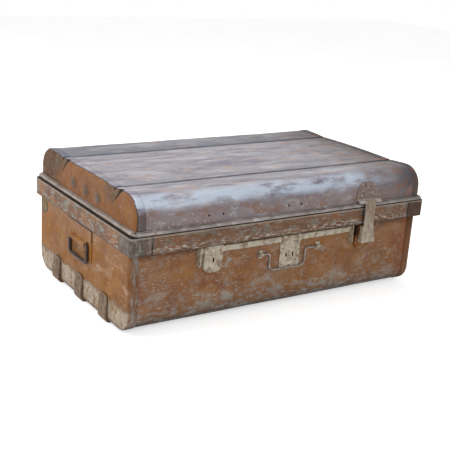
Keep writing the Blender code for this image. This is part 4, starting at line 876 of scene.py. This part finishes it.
def make_band(finish, lining):
    """The proud rim band: a channel with soft edges, in four lengths, knocked in a little between corners.
    A station is a place on its outline, the way out there, and where along the knocks it lies."""
    low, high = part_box("band_end_left")
    base, top = low.z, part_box("band_front")[1].z
    half_x, half_y = -low.x, -low.y
    soft = 1.3 * MM
    corner = 6 * MM
    face = np.linspace(base + soft, top - soft, 9)[1:-1]
    edges = np.vstack([[(-1, base)], path_arc((soft, base + soft), soft, 270, 180, 5),
                       np.column_stack([0 * face, face]), path_arc((soft, top - soft), soft, 180, 90, 5),
                       [(-1, top)]])
    inset, z = edges.T
    bulge = np.clip((z - base) * (top - z) / ((top - base) / 2) ** 2, 0, 1)

    def carry(name, stations, flip):
        x, y, out_x, out_y, run = np.array(stations, dtype=float).T[..., None]
        turning = np.abs(out_x * out_y) > 0.01
        seat = (half_y - BODY_Y - GAP) * np.abs(out_y) + (half_x - BODY_X - GAP) * np.abs(out_x)
        into = np.where(inset < 0, np.where(turning, corner, seat), inset)
        into = into + bulge * 0.45 * MM * ripple(run, z * 0.5, 3.0) * ~turning
        points = np.stack([x - out_x * into, y - out_y * into, z + 0 * into], axis=-1)
        mesh = grid_mesh("rim_band_" + name, points, flip=flip)
        node = "band_" + name if name in ("front", "back") else "band_end_" + name
        piece("rim_band_" + name, mesh, [node], "trunk", finish, BAND_SHEET, lining)

    for name, side in (("front", -1), ("back", 1)):
        xs = np.linspace(-BAND_JOINT, BAND_JOINT, 121)
        carry(name, [(x, side * half_y, 0, side, x + side) for x in xs], side > 0)
    turns = [(math.sin(t), math.cos(t)) for t in np.radians(np.linspace(0, 90, 9))[1:-1]]
    start = [(x, -half_y, 0, -1, -2.0) for x in np.linspace(BAND_JOINT + GAP, half_x - corner, 9)]
    start += [(half_x - corner + s * corner, corner - half_y - c * corner, s, -c, 0) for s, c in turns]
    middle = [(half_x, y, 1, 0, y) for y in np.linspace(corner - half_y, half_y - corner, 81)]
    round_end = np.vstack([start, middle, np.array(start)[::-1] * (1, -1, 1, -1, -1)])
    for name, side in SIDES:
        carry(name, round_end * (side, 1, side, 1, 1), side < 0)


def make_bails(wire_finish, rod_finish):
    """The front wire bail with its side stubs, and the closed rod bails of the two end handles."""
    low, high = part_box("front_bail")
    radius = (high.y - low.y) / 2
    left, right = low.x + STUB_GAP, high.x - STUB_GAP
    arm_left, arm_right = low.x + BAIL_ARMS[0], high.x - BAIL_ARMS[1]
    top, bottom = high.z - radius, low.z + radius
    corners = [(left, top), (arm_left, top), (arm_left, bottom), (arm_right, bottom), (arm_right, top),
               (right, top)]
    make_rod("front_wire_bail", "front_bail", 1, corners, BAIL_BENDS, "front_handle",
             wire_finish)
    for name in ("left", "right"):
        low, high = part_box("end_bail_" + name)
        radius = (high.x - low.x) / 2
        corners = square(high.y - radius, low.z + radius, high.z - radius)
        make_rod("end_rod_bail_" + name, "end_bail_" + name, 0, corners, ROD_BENDS,
                 name + "_handle", rod_finish, 18)


def dome(centre, out, radius, height, rows=6, sides=16):
    """A rivet head: a shallow cap whose height falls as a circle's, standing on a point and facing out."""
    out = Vector(out).normalized()
    across = out.orthogonal().normalized()
    lift = out.cross(across)
    share = np.sin(np.linspace(0, math.pi / 2, rows))[:, None, None]
    turn = np.linspace(0, 2 * math.pi, sides, endpoint=False)[None, :, None]
    flat = radius * share * (np.cos(turn) * np.array(across) + np.sin(turn) * np.array(lift))
    return np.array(centre) + flat + height * np.sqrt(1 - share ** 2) * np.array(out)


def make_rivets(finish, cream):
    """Every rivet head of the model, and the small ones that only show: on lid ends and hinge leaves."""
    def head(name, nodes, foot, out, radius, height, body, slot, paint=finish):
        mesh = grid_mesh(name, dome(foot, out, radius, height), wrap=(False, True))
        piece(name, mesh, nodes, body, paint)

    for node in sorted(name for name in NODES if "_rivet_" in name):
        low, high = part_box(node)
        middle, half = (low + high) / 2, (high - low) / 2
        out, radius = Vector((0, -1, 0)), half.x
        if node.startswith(("skid", "handle")):
            out, radius = Vector((math.copysign(1, middle.x), 0, 0)), half.y
        if node == "hasp_rivet_top":
            out = Vector((0, -math.cos(HASP_TILT), math.sin(HASP_TILT)))
        place = ("lid", "cream_fitting", cream) if node.startswith("hasp") else ("trunk", "strap_steel")
        head(node + "_head", [node], middle - out * RIVET_SUNK, out, radius, RIVET_HEIGHT, *place)
    for name, side in SIDES:
        for end, y in (("front", -END_RIVET_Y), ("back", END_RIVET_Y)):
            foot = (side * (LID_X - 0.1 * MM), y, END_RIVET_Z)
            head("lid_end_rivet_" + name + "_" + end, [], foot, (side, 0, 0), END_RIVET, SMALL_HEIGHT,
                 "lid", "tan_paint")
        leaf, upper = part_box("hinge_lower_" + name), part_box("hinge_upper_" + name)
        middle = (leaf[0].x + leaf[1].x) / 2
        for part, body, behind, z in (("lower", "trunk", "band_back", leaf[0].z + 9 * MM),
                                      ("upper", "lid", "lid_wrap", upper[1].z - 7 * MM)):
            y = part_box(behind)[1].y + GAP + HINGE_LEAF
            for end, step in (("inner", -HINGE_RIVET_STEP), ("outer", HINGE_RIVET_STEP)):
                head("hinge_rivet_" + "_".join((part, name, end)), [], (middle + step, y, z), (0, 1, 0),
                     HINGE_RIVET, SMALL_HEIGHT, body, "strap_steel")


def dressed(node, body, finish, edge):
    """A finer copy of a model node: its flats joined, its curves smooth and its sharp edges broken."""
    mesh = bpy.data.meshes.new(node + "_fine")
    form = bmesh.new()
    form.from_mesh(NODES[node].data)
    bmesh.ops.remove_doubles(form, verts=form.verts, dist=0.02 * MM)
    bmesh.ops.dissolve_limit(form, angle_limit=math.radians(1.5), verts=form.verts, edges=form.edges)
    form.to_mesh(mesh)
    form.free()
    mesh.shade_smooth()
    mesh.set_sharp_from_angle(angle=SHARP_ANGLE)
    broken = piece(node + "_fine", mesh, [node], body, finish).modifiers.new("edge", "BEVEL")
    broken.width = edge
    broken.segments = 2
    broken.limit_method = "ANGLE"
    broken.angle_limit = SHARP_ANGLE


def make_fittings(cream, plate, catch, strap, dark, wire_finish, tan, band):
    """The model's own fittings, carried over with broken edges and their own finish."""
    for nodes, body, slot, finish, edge in (
            ("hasp_plate", "lid", "cream_fitting", plate, 0.4),
            ("hasp_strap", "hasp", "cream_fitting", cream, 0.5),
            ("catch_left", "trunk", "cream_fitting", cream, 0.45),
            ("catch_right", "trunk", "cream_fitting", catch, 0.45),
            ("lock_plate", "trunk", "cream_fitting", cream, 0.25),
            ("lock_bar", "locking_bar", "cream_fitting", cream, 0.3),
            ("bar_keeper_left bar_keeper_right", "trunk", "cream_fitting", cream, 0.25),
            ("front_handle_clip_left front_handle_clip_right", "trunk", "cream_fitting", cream, 0.25),
            ("skid_front skid_middle skid_back", "trunk", "strap_steel", strap, 0.8),
            ("handle_plate_left handle_plate_right", "trunk", "tan_paint", tan, 0.4),
            ("handle_clamp_left handle_clamp_right", "trunk", "tan_paint", tan, 0.4),
            ("hinge_lower_left hinge_lower_right", "trunk", "strap_steel", strap, 0.35),
            ("hinge_upper_left hinge_upper_right", "lid", "strap_steel", strap, 0.35),
            ("hinge_pin_left hinge_pin_right", "trunk", "dark_steel", dark, 0.2),
            ("hasp_pin", "lid", "wire_steel", wire_finish, 0.25),
            ("lock_case", "trunk", "dark_steel", dark, 0.5),
            ("rim_lip", "trunk", "band_steel", band, 0.3)):
        for node in nodes.split():
            dressed(node, body, finish, edge * MM)


def cream_enamel():
    """Cream paint on pressed fittings, chipped to brown rust at edges and rubbed places."""
    chips = patches(6, 0.61, 0.65, 135, detail=5)
    strap = zone("X", 190, 194)
    relief = [(patches(1.6, 0.3, 0.7, 132), 0.06), (chips, 0.12)]
    colour = coats(
        "#a89f8d",
        ("#8d8170", patches(20, 0.45, 0.6, 131), 0.8),
        ("#c0b8a8", patches(12, 0.52, 0.64, 133), 0.7),
        ("#7a6250", patches(11, 0.55, 0.62, 137, (1, 1, 1.3)), 0.8),
        ("#5e4332", chips, 0.9),
        ("#7c6c60", strap, 0.35),
        ("#6b5447", strap, zone("Z", 172, 196, 4, 14, 3), 0.4))
    return colour, (0.38, 0.62, chips), (0.0, 0.2, chips), relief


def hasp_finish():
    """The hasp's plate, its cream paint rubbed to the lid's grey and brown but for the lip over the pin."""
    relief = [(patches(1.8, 0.3, 0.7, 142), 0.08), (patches(8, 0.3, 0.7, 144), 0.25)]
    colour = coats(
        "#786863",
        ("#615250", patches(14, 0.44, 0.58, 141), 0.8),
        ("#81695a", patches(9, 0.52, 0.62, 143), 0.7),
        ("#a39a90", patches(5, 0.57, 0.64, 145, detail=4), 0.8),
        ("#9e948d", zone("Z", 234.5, 231.5, 1.2, 8, 2), 0.9))
    return colour, (0.4, 0.62, patches(8, seed=146)), (0.1, 0.4, patches(5, 0.57, 0.64, 145)), relief


def catch_finish():
    """The right catch, brushed over with the body's tan enamel, cream only at its ear's edge, with a
    painted shadow beside the ear.
    """
    ear = zone("X", 182.5, 179, 0.8, 6, 1)
    # Painted shadow: black between the ear and the hasp's boot
    slot = both(zone("X", 184.2, 184.8), zone("X", 196.5, 195.5), zone("Z", 142, 146, 2, 9, 4))
    relief = [(patches(1.8, 0.3, 0.7, 226), 0.08)]
    colour = coats(
        tan_coats(221),
        ("#a59c87", patches(6, 0.58, 0.64, 223, (1, 1, 1.6)), 0.7),
        ("#a29a85", ear, patches(7, 0.36, 0.48, 225), 0.95),
        ("#1c1410", slot, 0.9))
    return colour, (0.42, 0.6, patches(9, seed=227)), 0.0, relief


def strap_steel():
    """Hot-rolled strap with thin brown paint, rusted matt and rubbed grey on its high places."""
    relief = [(patches(2, 0.3, 0.7, 152), 0.12), (patches(12, seed=154), 0.2)]
    colour = coats(
        "#75614f",
        ("#5b4637", patches(18, 0.44, 0.58, 151), 0.75),
        ("#8b7a6a", patches(9, 0.53, 0.63, 153), 0.7),
        ("#8d8d8c", patches(6, 0.6, 0.66, 155, (1, 1, 1.6)), 0.6),
        ("#43322a", patches(3, 0.62, 0.69, 157, detail=3), 0.6))
    return colour, (0.5, 0.72, patches(12, seed=156)), (0.1, 0.35, patches(6, 0.6, 0.66, 155)), relief


def dark_rust():
    """Forged rod gone dark brown, nearly black in its pits, with a faint shine where a hand rubs."""
    relief = [(patches(1.5, 0.3, 0.7, 162), 0.1), (patches(6, seed=164), 0.15)]
    colour = coats(
        "#3b2c23",
        ("#231a15", patches(9, 0.42, 0.6, 161), 0.8),
        ("#5b4334", patches(5, 0.56, 0.66, 163), 0.7))
    return colour, (0.38, 0.62, patches(8, seed=165)), (0.25, 0.5, patches(5, 0.5, 0.6, 166)), relief


def tinned_wire():
    """Drawn steel wire, dull grey with brown spots where its tin has gone."""
    relief = [(patches(1.4, 0.3, 0.7, 172), 0.05), (patches(8, seed=174), 0.08)]
    colour = coats(
        "#87807a",
        ("#6c625b", patches(14, 0.44, 0.58, 171), 0.75),
        ("#5d4637", patches(5, 0.58, 0.65, 173), 0.75),
        ("#a9a49f", patches(7, 0.58, 0.66, 175), 0.6))
    return colour, (0.36, 0.58, patches(10, seed=176)), (0.3, 0.6, patches(7, 0.5, 0.6, 175)), relief


def bare_bead():
    """The rolled edge, rubbed through to bright dull tin on its crown and brown in its hollow, with painted
    shade along its underside.
    """
    relief = [(patches(2, 0.3, 0.7, 182), 0.06), (patches(14, seed=184), 0.2)]
    colour = coats(
        "#8a8380",
        ("#6a605b", patches(26, 0.44, 0.58, 181, (1.6, 1.6, 1)), 0.8),
        ("#a6a19f", patches(15, 0.52, 0.62, 183, (1.8, 1.8, 1)), 0.75),
        ("#74543d", patches(11, 0.57, 0.65, 185, (1.8, 1.8, 1)), 0.8),
        ("#8d7c68", zone("x", 366, 370), patches(40, 0.4, 0.6, 187), 0.6),
        ("#5f5852", zone("X", 200, 300, 10, 30, 12), 0.55),
        # painted shade along the bead's underside, over the gap to the band
        ("#120e0c", zone("Z", 216.8, 215.6), 0.95))
    return colour, (0.34, 0.55, patches(12, seed=186)), (0.3, 0.6, patches(15, 0.5, 0.6, 183)), relief


def inner_lacquer():
    """Thin dark lacquer inside the shell, bloomed and lightly rusted."""
    relief = [(patches(2.5, seed=192), 0.08)]
    colour = coats(
        "#5a4a3d",
        ("#43372e", patches(60, 0.42, 0.6, 191), 0.8),
        ("#7a5f49", patches(22, 0.55, 0.65, 193), 0.6),
        ("#86817b", patches(9, 0.6, 0.67, 195, (1, 1, 1.5)), 0.5))
    return colour, (0.5, 0.7, patches(22, seed=194)), (0.0, 0.1, patches(9, 0.6, 0.67, 195)), relief


def seen_rays(tree):
    """1 for rays that show the backdrop to the eye, straight or mirrored, and 0 for its light."""
    ray = add(tree, "LightPath")
    seen = ray.outputs["Is Camera Ray"]
    for kind in ("Is Glossy Ray", "Is Transmission Ray"):
        seen = add(tree, "Math", {"operation": "MAXIMUM", 0: seen, 1: ray.outputs[kind]}).outputs[0]
    return seen


def make_lights():
    """Soft studio light: a dim white room, a wide lamp above and behind, and a fill at the front left."""
    world = bpy.data.worlds.new("room")
    bpy.context.scene.world = world
    world.use_nodes = True
    tree = world.node_tree
    level = add(tree, "MapRange", {"Value": seen_rays(tree), "To Min": ROOM_LEVEL})
    room = tree.nodes["Background"]
    tree.links.new(room.inputs["Strength"], level.outputs[0])
    room.inputs["Color"].default_value = WHITE
    for name, place, size, power, aim in (
            ("lamp_above", (-0.4, 0.6, 2.4), 1.5, 40, (0, 0, 0.2)),
            ("lamp_left", (-2.3, 0.5, 1.5), 1.1, 25, (-0.3, 0, 0.1)),
            ("lamp_front", (-0.4, -2.3, 1.5), 1.3, 25, (0, 0, 0.1))):
        light = bpy.data.lights.new(name, "AREA")
        light.size = size
        light.energy = power
        lamp = bpy.data.objects.new(name, light)
        bpy.context.scene.collection.objects.link(lamp)
        lamp.location = place
        lamp.rotation_euler = (Vector(aim) - Vector(place)).to_track_quat("-Z", "Y").to_euler()


def floor_white():
    """Matt white paper that looks white to the camera and still takes the trunk's shadow."""
    colour = coats("#f4f4f4", ("#efefef", patches(240, 0.4, 0.6, 201)))
    return colour, (0.8, 0.9, patches(120, 0.4, 0.6, 202)), 0.0, [(patches(60, 0.4, 0.6, 203), 0.02)]


def make_floor():
    """A wide pale sheet under the skids, level with their soles."""
    u, v = np.meshgrid(np.linspace(-6, 6, 13), np.linspace(-6, 6, 13), indexing="ij")
    mesh = grid_mesh("floor", np.stack([u, v, np.zeros_like(u)], axis=-1))
    floor = bpy.data.objects.new("floor", mesh)
    bpy.context.scene.collection.objects.link(floor)
    paper = material("white_paper", floor_white())
    tree = paper.node_tree
    shader = tree.nodes["Principled BSDF"]
    shader.inputs["Emission Color"].default_value = WHITE
    lift = add(tree, "MapRange", {"Value": seen_rays(tree), "To Max": FLOOR_LIFT})
    tree.links.new(shader.inputs["Emission Strength"], lift.outputs[0])
    mesh.materials.append(paper)


bpy.context.scene.view_settings.view_transform = "Standard"
make_camera()
make_lights()
make_floor()
tan = material("worn_tan_stove_enamel", end_enamel(), 1.2)
tan_front = material("rubbed_tan_stove_enamel", front_enamel(), 1.2)
tan_lid_end = material("worn_tan_enamel_on_lid_ends", lid_end_enamel(), 1.2)
steel_top = material("dull_tinned_steel", lid_steel())
band_paint = material("mottled_enamel_on_band", band_enamel(), 1.2)
cream = material("chipped_cream_enamel", cream_enamel(), 1.25)
plate = material("rubbed_hasp_enamel", hasp_finish(), 1.25)
catch = material("brushed_over_enamel", catch_finish(), 1.25)
strap = material("painted_rolled_strap", strap_steel(), 1.25)
dark = material("dark_rusted_rod", dark_rust())
wire = material("dull_tinned_wire", tinned_wire())
bead = material("rubbed_rolled_edge", bare_bead())
lacquer = material("thin_inner_lacquer", inner_lacquer(), 1.3)
make_body(tan, tan_front, lacquer)
make_lid(steel_top, tan_lid_end, lacquer)
make_bead(bead, wire)
make_band(band_paint, lacquer)
make_bails(wire, dark)
make_rivets(strap, cream)
make_fittings(cream, plate, catch, strap, dark, wire, tan, band_paint)
